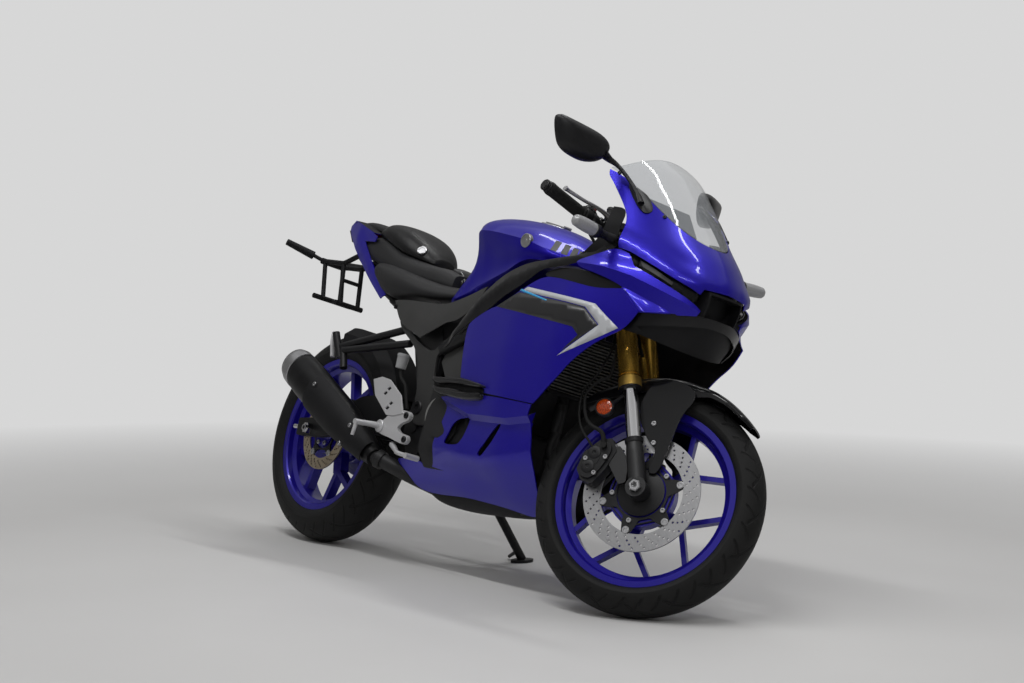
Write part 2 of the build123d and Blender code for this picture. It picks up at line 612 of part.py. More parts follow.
SHOCK_LOW = Vector(392, 0, 434)
SHOCK_TOP = Vector(466, 0, 690)
SHOCK_RUN = SHOCK_TOP - SHOCK_LOW
with BuildPart() as shock:
    rod(SHOCK_LOW, SHOCK_TOP, 12)
    rod(SHOCK_LOW + SHOCK_RUN * 0.82, SHOCK_LOW + SHOCK_RUN * 0.96, 20)
    for turn in range(6):
        low = SHOCK_LOW + SHOCK_RUN * (0.12 + 0.12 * turn)
        rod(low, low + SHOCK_RUN * 0.04, 28)
    cross_rod(SHOCK_LOW.X, SHOCK_LOW.Z, -14 + SEAT_GAP, 14 - SEAT_GAP, 13)
    cross_rod(SHOCK_TOP.X, SHOCK_TOP.Z, -13, 13, 13)
    trim(main_frame)
keep(shock, "rear_shock")

FRONT_SPROCKET = Vector(606, 0, 366)
FRONT_SPROCKET_R = 34
with BuildPart() as chain:
    for grow, width, mode in (
        (CHAIN_H / 2, CHAIN_W, Mode.ADD),
        (-CHAIN_H / 2, CHAIN_W, Mode.SUBTRACT),
        (TOOTH_TIP + 0.7, SPROCKET_T + 1, Mode.SUBTRACT),
    ):
        with BuildSketch(Plane.XZ.offset(-CHAIN_Y - width / 2)) as loop:
            with Locations((0, REAR_AXLE.Z)):
                Circle(SPROCKET_R + grow)
            with Locations((FRONT_SPROCKET.X, FRONT_SPROCKET.Z)):
                Circle(FRONT_SPROCKET_R + grow)
            make_hull()
        extrude(loop.sketch, amount=width, mode=mode)
keep(chain, "chain")

with BuildPart() as rear_caliper:
    side_plate([(96, 400), (150, 424), (176, 392), (150, 350), (112, 330), (84, 352)], -ARM_IN + SEAT_GAP, -44, corner=8)
    ring(REAR_AXLE, REAR_DISC_Y - 5, REAR_DISC_Y + 5, REAR_DISC_R + 5, 0, mode=Mode.SUBTRACT)
keep(rear_caliper, "rear_caliper")

HUGGER_R = REAR_TYRE_R + 14
HUGGER_HALF = 77
HUGGER_FROM, HUGGER_TO = 25, 92
with BuildPart() as hugger:
    with BuildSketch(Plane(origin=REAR_AXLE, x_dir=(0, 1, 0), z_dir=(1, 0, 0))) as arch:
        with BuildLine():
            Polyline(
                (-HUGGER_HALF, HUGGER_R - 60), (-HUGGER_HALF, HUGGER_R - 26), (-46, HUGGER_R), (46, HUGGER_R),
                (HUGGER_HALF, HUGGER_R - 26), (HUGGER_HALF, HUGGER_R - 60), (HUGGER_HALF - 3, HUGGER_R - 60),
                (HUGGER_HALF - 3, HUGGER_R - 28), (45, HUGGER_R - 3), (-45, HUGGER_R - 3),
                (3 - HUGGER_HALF, HUGGER_R - 28), (3 - HUGGER_HALF, HUGGER_R - 60), close=True,
            )
        make_face()
    spin = Axis(REAR_AXLE, (0, -1, 0))
    revolve(arch.sketch.rotate(spin, HUGGER_FROM - 90), axis=spin, revolution_arc=HUGGER_TO - HUGGER_FROM)
    for side in (RIGHT, LEFT):
        cross_rod(252, 424, side * (HUGGER_HALF - 2), side * (ARM_IN - SEAT_GAP), 7)
keep(hugger, "rear_hugger")

# ---- tank and seats ----------------------------------------------------------------------------------
TANK = (
    # x, half section from the top to the bottom as (y, z)
    (500, [(0, 952), (55, 950), (85, 928), (100, 760), (104, 717), (0, 717)]),
    (560, [(0, 983), (62, 981), (108, 950), (116, 850), (118, 720), (0, 720)]),
    (640, [(0, 992), (70, 990), (138, 948), (114, 850), (124, 745), (0, 745)]),
    (740, [(0, 986), (74, 984), (156, 930), (150, 872), (140, 792), (0, 792)]),
    (860, [(0, 967), (74, 963), (156, 912), (156, 868), (148, 852), (0, 852)]),
    (950, [(0, 936), (54, 932), (90, 894), (128, 868), (124, 856), (0, 856)]),
    (1000, [(0, 908), (36, 904), (60, 882), (84, 866), (80, 856), (0, 856)]),
)
CAP_R = 36
CAP_T = 5
NECK_R = 26
NECK_DEPTH = 45
PLUG_R = 20
PLUG_DEPTH = 8
COLLAR_H = 3
CAP_SEAT = Vector(780, 0, 978)
CAP_UP = Vector(0.15, 0, 0.9887)  # square to the tank's top there
HINGE_AHEAD = 42
HINGE_HEIGHT = COLLAR_H + 5
HINGE_HALF = 12


def on_cap(height, ahead=0):
    """A point above the cap's seat, along its own axis."""
    return CAP_SEAT + CAP_UP * height + Vector(CAP_UP.Z, 0, -CAP_UP.X) * ahead


with BuildPart() as tank:
    section_loft(TANK)
    side_plate([(440, 690), (517, 746), (566, 800), (585, 848), (574, 892), (540, 934), (498, 958), (440, 958)],
               -200, 200, mode=Mode.SUBTRACT)
    rod(on_cap(-10), on_cap(COLLAR_H), CAP_R + 12)
    rod(on_cap(-NECK_DEPTH), on_cap(COLLAR_H + 10), NECK_R, mode=Mode.SUBTRACT)
    for side in (RIGHT, LEFT):
        ear = ACROSS * side * (HINGE_HALF + SEAT_GAP + 3)
        rod(on_cap(COLLAR_H - 3, HINGE_AHEAD) + ear, on_cap(HINGE_HEIGHT + 3, HINGE_AHEAD) + ear, 3)
keep(tank, "fuel_tank")

with BuildPart() as cap:
    rod(on_cap(COLLAR_H + SEAT_GAP), on_cap(COLLAR_H + SEAT_GAP + CAP_T), CAP_R)
    rod(on_cap(-PLUG_DEPTH), on_cap(COLLAR_H + 1), PLUG_R)
    hinge = on_cap(HINGE_HEIGHT, HINGE_AHEAD)
    rod(hinge - ACROSS * HINGE_HALF, hinge + ACROSS * HINGE_HALF, 3.5)
    rod(on_cap(COLLAR_H + 3.5, CAP_R - 4), hinge, 2.5)
keep(cap, "tank_cap", "tank_cap")

SEAT = (
    (110, [(0, 842), (70, 842), (100, 826), (108, 806), (60, 800), (0, 800)]),
    (220, [(0, 830), (80, 828), (126, 808), (132, 776), (118, 752), (0, 752)]),
    (350, [(0, 802), (80, 798), (124, 778), (132, 750), (120, 730), (0, 730)]),
    (460, [(0, 784), (66, 780), (100, 764), (110, 742), (102, 728), (0, 728)]),
    (545, [(0, 784), (44, 778), (66, 764), (76, 756), (70, 750), (0, 750)]),
)
with BuildPart() as rider_seat:
    section_loft(SEAT)
    side_plate([(88, 848), (160, 799), (226, 738), (186, 700), (60, 700), (60, 848)], -200, 200, mode=Mode.SUBTRACT)
    trim(tank)
keep(rider_seat, "rider_seat")

PILLION = (
    (20, [(0, 951), (44, 949), (62, 938), (60, 930), (0, 930)]),
    (110, [(0, 964), (62, 960), (92, 938), (90, 916), (0, 916)]),
    (230, [(0, 955), (66, 950), (100, 918), (98, 892), (0, 892)]),
    (350, [(0, 904), (56, 900), (92, 872), (90, 852), (0, 852)]),
    (420, [(0, 858), (36, 856), (60, 848), (58, 838), (0, 838)]),
)
with BuildPart() as pillion_seat:
    section_loft(PILLION)
keep(pillion_seat, "pillion_seat")

UNDERTRAY = (
    (-100, [(0, 940), (40, 938), (56, 922), (40, 890), (0, 890)]),
    (20, [(0, 929), (56, 929), (80, 900), (60, 850), (0, 850)]),
    (230, [(0, 891), (86, 891), (104, 860), (90, 790), (0, 790)]),
    (440, [(0, 836), (60, 834), (90, 820), (96, 760), (0, 760)]),
)
with BuildPart() as undertray:
    section_loft(UNDERTRAY)
    trim(rider_seat, pillion_seat, subframe)
keep(undertray, "seat_base")

TAIL_SIDE = [(-140, 951), (-103, 968), (58, 926), (62, 902), (-46, 926), (92, 838), (160, 796), (222, 737),
             (182, 725), (-84, 898)]
with BuildPart() as tail:
    side_plate(TAIL_SIDE, -112, -88)
    mirror(about=Plane.XZ)
    side_plate([(-140, 951), (-104, 967), (-60, 956), (-96, 940)], -90, 90)
    trim(undertray, pillion_seat, rider_seat, subframe)
keep(tail, "tail_cowl")

with BuildPart() as bracket:
    for y in (-34, 34):
        pipe([(-60, y, 886), (-180, y, 842), (-300, y, 846)], 8, 60)
        rod((-180, y, 842), (-150, y, 716), 7)
        rod((-290, y, 846), (-250, y, 728), 7)
    rod((-250, -70, 728), (-250, 70, 728), 8)
    rod((-150, -50, 716), (-150, 50, 716), 8)
    rod((-250, 0, 728), (-150, 0, 716), 7)
    rod((-300, -40, 846), (-300, 40, 846), 10)
    rod((-168, -34, 790), (-168, 34, 790), 6)
    trim(undertray)
keep(bracket, "plate_bracket")

with BuildPart() as rear_lamps:
    side_plate([(-138, 938), (-104, 936), (-84, 908), (-110, 902)], -70, 70)
    for side in (RIGHT, LEFT):
        rod((-300, side * 30, 846), (-322, side * 70, 858), 6)
        rod((-322, side * 62, 856), (-350, side * 150, 874), 13, 10)
    trim(undertray, tail, bracket)
keep(rear_lamps, "rear_lamps")

# ---- footrests ---------------------------------------------------------------------------------------
PEDAL_Y = 190
with BuildPart() as footrests:
    for side in (RIGHT, LEFT):
        near, far = side * (PLATE_Y + 20), side * (PLATE_Y + 32)
        side_plate([(440, 300), (452, 350), (500, 330), (560, 398), (584, 392), (592, 376), (540, 320), (588, 318),
                    (606, 296), (590, 284), (500, 288)], near, far, corner=5)
        side_plate([(381, 477), (398, 486), (454, 483), (500, 458), (544, 422), (548, 400), (539, 387), (482, 385),
                    (462, 398), (420, 430)], far, far + side * 3, corner=5)
        side_plate([(470, 330), (470, 420), (500, 420), (506, 320)], near, far)
        cross_rod(576, 388, side * PLATE_Y, near, 9)
        cross_rod(594, 300, side * PLATE_Y, near, 9)
        rod((452, near, 342), (430, far + side * 40, 348), 11)
        rod((430, far + side * 34, 348), (388, far + side * 95, 352), 12)
    for side, tip in ((RIGHT, (660, 278)), (LEFT, (680, 316))):
        toe_y = side * PEDAL_Y
        pipe([(500, side * (PLATE_Y + 30), 306), (570, toe_y, 282), (tip[0], toe_y, tip[1])], 6, 40)
        cross_rod(tip[0], tip[1], toe_y - side * 4, toe_y + side * 34, 8)
    trim(main_frame, engine)
keep(footrests, "rider_footrests")

with BuildPart() as pillion_rests:
    for side in (RIGHT, LEFT):
        rod((340, side * 104, 640), (120, side * 160, 562), 11)
        rod((398, side * 116, 600), (140, side * 160, 552), 11)
        rod((130, side * 158, 558), (160, side * 160, 500), 11)
        rod((124, side * 160, 530), (92, side * 172, 600), 11)
        rod((300, side * 98, 700), (350, side * 106, 634), 9)
    trim(main_frame, subframe, footrests)
keep(pillion_rests, "pillion_footrests")

# ---- side stand --------------------------------------------------------------------------------------
STAND_PIVOT = Vector(620, 118, 232)
STAND_FOOT = (FLOOR.location * Pos(628, 287, 0)).position
STAND_PAD_R = 24
STAND_PAD_T = 8
STAND_R = 12
with BuildPart() as stand:
    foot_plane = Plane(origin=STAND_FOOT, z_dir=FLOOR.z_dir)
    top_of_pad = STAND_FOOT + FLOOR.z_dir * STAND_PAD_T
    with BuildSketch(foot_plane) as pad:
        Ellipse(STAND_PAD_R + 12, STAND_PAD_R)
    extrude(pad.sketch, amount=STAND_PAD_T)
    rod(STAND_PIVOT, top_of_pad, STAND_R)
    cross_rod(STAND_PIVOT.X, STAND_PIVOT.Z, STAND_PIVOT.Y - 12, STAND_PIVOT.Y + 12, 18)
    leg = top_of_pad - STAND_PIVOT
    tang = STAND_PIVOT + leg * 0.86
    rod(tang, tang + Vector(-60, 24, -20), 5)
    cross_rod(STAND_PIVOT.X, STAND_PIVOT.Z, 0, 200, 8.1, mode=Mode.SUBTRACT)
keep(stand, "side_stand", "side_stand")

with BuildPart() as stand_bracket:
    side_plate([(540, 300), (590, 296), (646, 250), (640, 212), (604, 212), (548, 268)],
               STAND_PIVOT.Y - 12 - SEAT_GAP, STAND_PIVOT.Y - 22, corner=8)
    trim(engine, main_frame)
    cross_rod(STAND_PIVOT.X, STAND_PIVOT.Z, STAND_PIVOT.Y - 22, STAND_PIVOT.Y + 16, 8)
keep(stand_bracket, "stand_bracket")

# ---- fairing -----------------------------------------------------------------------------------------
NOSE = (
    # z, centre x, length ahead of it, half width
    (640, 1200, 262, 190),
    (740, 1200, 298, 216),
    (830, 1195, 312, 220),
    (900, 1180, 278, 210),
    (960, 1160, 236, 196),
    (1050, 1128, 186, 180),
    (1130, 1092, 144, 160),
    (1172, 1066, 104, 128),
)


def nose_block(inset=0, mode=Mode.ADD):
    """The nose as a solid: ovals at rising heights."""
    faces = []
    for z, x, length, half in NOSE:
        with BuildSketch(Plane.XY.offset(z)) as oval:
            with Locations((x, 0)):
                Ellipse(length - inset, half - inset)
        faces.append(oval.sketch)
    loft(faces, mode=mode)


def nose_shell(wall, inset=0):
    """The hollow nose: the solid one minus the same shape a wall thinner."""
    nose_block(inset)
    nose_block(inset + wall, mode=Mode.SUBTRACT)


SCREEN_LINE = [(1186, 1104), (1250, 1052), (1330, 990), (1400, 958)]  # where the screen meets the nose
NOSE_SIDE = [(1238, 874), (1228, 905), (1214, 980), (1200, 1030), (1150, 1090), *SCREEN_LINE, (1470, 910),
             (1530, 860), (1530, 818), (1468, 818), (1380, 842), (1300, 876), (1240, 880)]
SCREEN_SIDE = [(1140, 1180), *((x, z + SEAT_GAP) for x, z in SCREEN_LINE), (1420, 966), (1300, 1180)]
WING_SIDE = [(1150, 842), (1240, 872), (1298, 868), (1380, 834), (1484, 770), (1490, 750), (1400, 728), (1372, 686),
             (1240, 760), (1150, 790)]
INNER_SIDE = [(1490, 745), (1540, 745), (1540, 815), (1466, 815), (1380, 838), (1376, 832), (1484, 772)]

with BuildPart() as nose_cowl:
    nose_shell(PANEL_T)
    side_plate(NOSE_SIDE, 260, -260, mode=Mode.INTERSECT)
keep(nose_cowl, "nose_cowl")

with BuildPart() as screen:
    nose_shell(PANEL_T)
    side_plate(SCREEN_SIDE, 260, -260, mode=Mode.INTERSECT)
keep(screen, "windscreen")

SIDE_WALL = (
    # x, outer half section from the top to the bottom as (y, z)
    (480, ((150, 900), (160, 640), (160, 470), (160, 300), (120, 200), (70, 170))),
    (800, ((190, 900), (212, 700), (210, 450), (188, 300), (120, 200), (70, 170))),
    (1000, ((208, 900), (236, 720), (232, 450), (196, 300), (100, 198), (50, 170))),
    (1200, ((212, 900), (238, 740), (226, 452), (170, 300), (70, 190), (40, 170))),
    (1420, ((176, 900), (176, 740), (150, 452), (110, 300), (60, 190), (40, 170))),
)


def wall_shell(inset=0, wall=PANEL_T):
    """Both side walls of the fairing, open inside, above and below."""
    outer = [(x, [(0, 900)] + [(y - inset, z) for y, z in half] + [(0, 170)]) for x, half in SIDE_WALL]
    inner = [(x, [(0, 900)] + [(y - inset - wall, z) for y, z in half] + [(0, 170)]) for x, half in SIDE_WALL]
    section_loft(outer)
    section_loft(inner, mode=Mode.SUBTRACT)


SIDE_COWL = [(812, 640), (868, 690), (954, 745), (1053, 790), (1190, 784), (1340, 764), (1400, 728), (1372, 686),
             (1215, 600), (1206, 456), (857, 456)]
with BuildPart() as side_cowls:
    wall_shell()
    side_plate(SIDE_COWL, 300, -300, mode=Mode.INTERSECT)
    for side in (RIGHT, LEFT):
        cross_rod(930, 640, side * 120, side * 226, 8)
        cross_rod(990, 700, side * 120, side * 226, 8)
    trim(main_frame)
keep(side_cowls, "side_cowls")

with BuildPart() as wings:
    nose_shell(PANEL_T)
    side_plate(WING_SIDE, 300, -300, mode=Mode.INTERSECT)
    trim(side_cowls)
keep(wings, "fairing_wings")

LOWER_COWL = [(857, 450), (1200, 450), (1112, 400), (1098, 345), (1080, 208), (1060, 200), (740, 208), (500, 262),
              (520, 290), (700, 270), (715, 330), (770, 430)]
STAND_NOTCH = [(510, 190), (510, 262), (674, 262), (706, 190)]  # room for the folded stand, on the left
VENTS = ([(826, 330), (860, 326), (930, 425), (846, 412)], [(940, 312), (955, 306), (1000, 400), (985, 404)])
with BuildPart() as lower_cowls:
    wall_shell()
    side_plate(LOWER_COWL, 300, -300, mode=Mode.INTERSECT)
    for vent in VENTS:
        side_plate(vent, 300, -300, mode=Mode.SUBTRACT)
    side_plate(STAND_NOTCH, 0, 300, mode=Mode.SUBTRACT)
keep(lower_cowls, "lower_cowls")

with BuildPart() as strips:
    wall_shell(inset=4)
    side_plate([(800, 642), (866, 696), (952, 750), (1053, 795), (1190, 789), (1150, 835), (1020, 838), (920, 828),
                (848, 790), (720, 730)], 300, -300, mode=Mode.INTERSECT)
    trim(side_cowls, wings)
keep(strips, "gloss_strips")

SIDE_COVER = [(285, 719), (310, 724), (460, 724), (590, 720), (750, 752), (800, 700), (653, 664), (522, 604),
              (429, 583), (380, 627)]
with BuildPart() as side_covers:
    side_plate(SIDE_COVER, -146, -134, corner=6)
    mirror(about=Plane.XZ)
    trim(main_frame)
keep(side_covers, "side_covers")

DUCT_HALF = 56
with BuildPart() as duct:
    nose_shell(34, inset=4)
    side_plate([(1440, 812), (1520, 812), (1520, 706), (1440, 706)], DUCT_HALF, -DUCT_HALF, mode=Mode.INTERSECT)
    side_plate([(1466, 806), (1540, 806), (1540, 712), (1466, 712)], DUCT_HALF - 5, 5 - DUCT_HALF, mode=Mode.SUBTRACT)

with BuildPart() as inner_cowl:
    nose_shell(2.5, inset=4)
    side_plate([(1200, 745), (1240, 756), (1396, 724), (1492, 745), (1540, 745), (1540, 660), (1470, 652),
                (1380, 676), (1200, 700)], 260, -260, mode=Mode.INTERSECT)
    add(duct.part)
keep(inner_cowl, "inner_cowl")

with BuildPart() as headlamps:
    nose_shell(14, inset=PANEL_T + SEAT_GAP)
    side_plate([(1290, 880), (1376, 842), (1466, 816), (1466, 778), (1384, 830), (1300, 868)], 260, -260, mode=Mode.INTERSECT)
    trim(inner_cowl)
keep(headlamps, "headlamps")

MIRROR_FACE = [(-391, 1159), (-298, 1157), (-236, 1144), (-207, 1127), (-227, 1095), (-272, 1077), (-330, 1082),
               (-360, 1103)]
MIRROR_X = 1180
MIRROR_BASE = Vector(1287, 146, 1000)
MIRROR_FOLD = 36  # the left mirror is folded in
with BuildPart() as right_mirror:
    with BuildSketch(Plane.YZ.offset(MIRROR_X - 8)) as face:
        Polygon(*MIRROR_FACE, align=None)
    extrude(face.sketch, amount=12)
    extrude(face.sketch.moved(Pos(12, 0, 0)), amount=22, taper=34)
    rod((MIRROR_X + 10, -219, 1114), (MIRROR_X + 26, -193, 1102), 11)
    rod((MIRROR_X + 26, -193, 1102), MIRROR_BASE - 2 * ACROSS * MIRROR_BASE.Y + Vector(0, -12, 4), 8, 10)
    rod(MIRROR_BASE - 2 * ACROSS * MIRROR_BASE.Y + Vector(-6, -14, 0),
        MIRROR_BASE - 2 * ACROSS * MIRROR_BASE.Y + Vector(-14, 14, -4), 20)
folded = Pos(MIRROR_BASE) * Rot(0, 0, MIRROR_FOLD) * Pos(-MIRROR_BASE)
with BuildPart() as mirrors:
    add(right_mirror.part)
    add(folded * right_mirror.part.mirror(Plane.XZ))
    nose_block(-SEAT_GAP, mode=Mode.SUBTRACT)
keep(mirrors, "mirrors")

with BuildPart() as indicators:
    rod((1262, -190, 900), (1262, -248, 902), 9)
    rod((1262, -240, 902), (1270, -346, 910), 16, 13)
    mirror(about=Plane.XZ)
    nose_block(-SEAT_GAP, mode=Mode.SUBTRACT)
keep(indicators, "front_indicators")

STAY_X, STAY_Z = 1250, 902  # the crossbar that carries the nose
with BuildPart() as panel:
    cross_rod(STAY_X, STAY_Z, -230, 230, 8)
    nose_block(PANEL_T + SEAT_GAP, mode=Mode.INTERSECT)
    side_plate([(1236, 968), (1256, 980), (1206, 1046), (1190, 1036)], -78, 78, corner=3)
    for side in (RIGHT, LEFT):
        rod((STAY_X, side * 40, STAY_Z), (1236, side * 40, 985), 6)
    rod(on_stem(600), (STAY_X, 0, STAY_Z), 12)
    trim(main_frame)
    rod(on_stem(500), on_stem(700), STEM_R + 6, mode=Mode.SUBTRACT)
keep(panel, "instrument_panel")

# ---- park the bike and write the pieces --------------------------------------------------------------
STEERING_BODIES = ("steering", "front_wheel")
placed = {}
for name, (solid, body) in pieces.items():
    place = PARKED * STEERED if body in STEERING_BODIES else PARKED
    placed[name] = place * solid

boxes = [solid.bounding_box() for solid in placed.values()]
MID_X = (min(box.min.X for box in boxes) + max(box.max.X for box in boxes)) / 2
MID_Y = (min(box.min.Y for box in boxes) + max(box.max.Y for box in boxes)) / 2
ORIGIN = Pos(-MID_X, -MID_Y, 0)  # under the middle of the parked bike

os.makedirs("parts", exist_ok=True)
for name, solid in placed.items():
    solid = ORIGIN * solid
    solid.label = name
    export_step(solid, f"parts/{name}.step")
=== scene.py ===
"""Looks for a fully faired sport bike, parked on its side stand with the bars on their left stop.

Shapes are worked out in millimetres on the upright bike with the bars straight: X forward, Y to the
rider's left, Z up, with the origin on the ground under the rear axle. `leaned` and `steered` carry such
points to where the bike stands, in metres.
"""

import json
import math

import bpy
import numpy as np
from mathutils import Matrix, Vector
from mathutils.bvhtree import BVHTree
from mathutils.geometry import delaunay_2d_cdt


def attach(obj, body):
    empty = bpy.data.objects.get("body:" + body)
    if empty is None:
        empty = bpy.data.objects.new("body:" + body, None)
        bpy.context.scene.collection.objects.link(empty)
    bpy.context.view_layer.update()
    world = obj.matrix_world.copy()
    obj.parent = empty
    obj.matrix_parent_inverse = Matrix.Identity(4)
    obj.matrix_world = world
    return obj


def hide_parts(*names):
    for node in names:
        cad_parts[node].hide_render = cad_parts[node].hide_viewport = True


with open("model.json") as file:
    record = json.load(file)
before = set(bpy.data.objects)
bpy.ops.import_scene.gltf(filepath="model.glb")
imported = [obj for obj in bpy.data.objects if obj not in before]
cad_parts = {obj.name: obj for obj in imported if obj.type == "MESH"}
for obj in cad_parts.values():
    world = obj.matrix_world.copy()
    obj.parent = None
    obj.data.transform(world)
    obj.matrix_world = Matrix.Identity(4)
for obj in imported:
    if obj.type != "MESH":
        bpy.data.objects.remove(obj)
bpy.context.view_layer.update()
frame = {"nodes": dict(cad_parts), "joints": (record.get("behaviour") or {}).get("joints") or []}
nodes = frame["nodes"]
joints = {joint["name"]: joint for joint in frame["joints"]}
MM = 0.001
RIGHT, LEFT = -1, 1
RIGHTWARD = (0, -1, 0)


# ---- driving sizes of the bike, in millimetres -------------------------------------------------------
WHEELBASE = 1380
CASTER = math.radians(25)
FRONT_TYRE_R, FRONT_TYRE_W = 293, 110
REAR_TYRE_R, REAR_TYRE_W = 314, 140
FORK_HALF = 98.7
SHELL = {"wall": 3, "bevel": 0.8}  # thickness and eased rims of a fairing panel
FRONT_AXLE = np.array([WHEELBASE, 0, FRONT_TYRE_R], float)
REAR_AXLE = np.array([0, 0, REAR_TYRE_R], float)
UP = np.array([-math.sin(CASTER), 0, math.cos(CASTER)])
FORE = np.array([math.cos(CASTER), 0, math.sin(CASTER)])
ACROSS = np.array([0.0, 1.0, 0.0])


# ---- where the parked bike stands --------------------------------------------------------------------
def turn_matrix(axis, angle):
    """Rotation about an axis by an angle in radians, by Rodrigues' formula."""
    x, y, z = np.asarray(axis, float) / np.linalg.norm(axis)
    cross = np.array([[0, -z, y], [z, 0, -x], [-y, x, 0]])
    return np.eye(3) + math.sin(angle) * cross + (1 - math.cos(angle)) * cross @ cross


steer_axis = np.array(joints["steer"]["axis"])
across_axis = np.array(joints["rear_wheel_spin"]["axis"])
fore_axis = np.cross(across_axis, steer_axis)
LEAN = np.column_stack([fore_axis, across_axis, steer_axis]) @ np.array([FORE, ACROSS, UP])
SHIFT = np.array(joints["rear_wheel_spin"]["pos_m"]) - LEAN @ REAR_AXLE * MM
STEER_STOP = -math.radians(joints["steer"]["range_deg"][0]) / 2
STEER = turn_matrix(steer_axis, STEER_STOP)
STEER_AT = np.array(joints["steer"]["pos_m"])


def leaned(points):
    """Points of the upright bike, carried to the leaning one."""
    return np.asarray(points, float) @ LEAN.T * MM + SHIFT


def steered(points):
    """Points of the straight steering, carried to the left stop of the leaning bike."""
    return (leaned(points) - STEER_AT) @ STEER.T + STEER_AT


PLACE = {"frame": leaned, "rear_wheel": leaned, "side_stand": leaned, "tank_cap": leaned,
         "steering": steered, "front_wheel": steered}


# ---- camera, floor and light -------------------------------------------------------------------------
VIEW_FROM = (5079.2, -3189.6, 925.3)  # millimetres from the ground under the rear axle
VIEW_HEADING, VIEW_PITCH, VIEW_ROLL = map(math.radians, (37.606, -3.079, 0.915))
LENS, SENSOR = 71.0, 36


def add_camera():
    """The camera, from its place, heading, pitch and roll."""
    ahead = np.array([
        -math.cos(VIEW_HEADING) * math.cos(VIEW_PITCH),
        math.sin(VIEW_HEADING) * math.cos(VIEW_PITCH),
        math.sin(VIEW_PITCH),
    ])
    right = np.cross(ahead, [0, 0, 1])
    right /= np.linalg.norm(right)
    above = np.cross(right, ahead)
    rolled = right * math.cos(VIEW_ROLL) + above * math.sin(VIEW_ROLL)
    top = np.cross(rolled, ahead)
    data = bpy.data.cameras.new("camera")
    data.lens = LENS
    data.sensor_width = SENSOR
    data.clip_end = 60
    camera = bpy.data.objects.new("camera", data)
    bpy.context.collection.objects.link(camera)
    view = np.eye(4)
    view[:3, :3] = np.column_stack([rolled, top, -ahead])
    view[:3, 3] = np.array(VIEW_FROM) * MM + [SHIFT[0], SHIFT[1], 0]
    camera.matrix_world = Matrix(view.tolist())
    bpy.context.scene.camera = camera


def add_lamp(name, place, target, size, watts, size_y=None):
    """A soft rectangular lamp that looks at a point."""
    data = bpy.data.lights.new(name, "AREA")
    data.energy = watts
    data.size = size
    if size_y:
        data.shape = "RECTANGLE"
        data.size_y = size_y
    lamp = bpy.data.objects.new(name, data)
    bpy.context.collection.objects.link(lamp)
    lamp.location = place
    lamp.rotation_euler = (Vector(target) - Vector(place)).to_track_quat("-Z", "Y").to_euler()


# ---- shader sums -------------------------------------------------------------------------------------
MIX_LOW, MIX_HIGH, MIX_OUT = 6, 7, 2  # the colour sockets of a Mix node


def as_math(operation):
    """A method of Signal that adds one Math node."""
    return lambda signal, *others: signal.math(operation, *others)


class Signal:
    """A shader socket; sums and products of signals add Math nodes."""

    def __init__(self, finish, socket):
        """A socket of a finish."""
        self.finish, self.socket = finish, socket

    def math(self, operation, *others, clamp=False):
        """A Math node whose first term is this signal."""
        settings = {"operation": operation, "use_clamp": clamp}
        return self.finish.node("ShaderNodeMath", settings, dict(enumerate((self, *others))))

    __add__, __sub__, __mul__, __truediv__ = map(as_math, ("ADD", "SUBTRACT", "MULTIPLY", "DIVIDE"))
    __abs__, fraction, root = map(as_math, ("ABSOLUTE", "FRACT", "SQRT"))
    most, sine, sign, arctan2 = map(as_math, ("MAXIMUM", "SINE", "SIGN", "ARCTAN2"))

    def __rsub__(self, other):
        """A number less this signal."""
        return self.math("MULTIPLY_ADD", -1, other)

    def step(self, edge, soft):
        """0 below the edge and 1 above it, over a soft width."""
        return ((self - edge) / soft).math("ADD", 0.5, clamp=True)

    def band(self, low, high, soft):
        """1 between two values, 0 outside them."""
        return self.step(low, soft) * (1 - self.step(high, soft))


finishes = {}


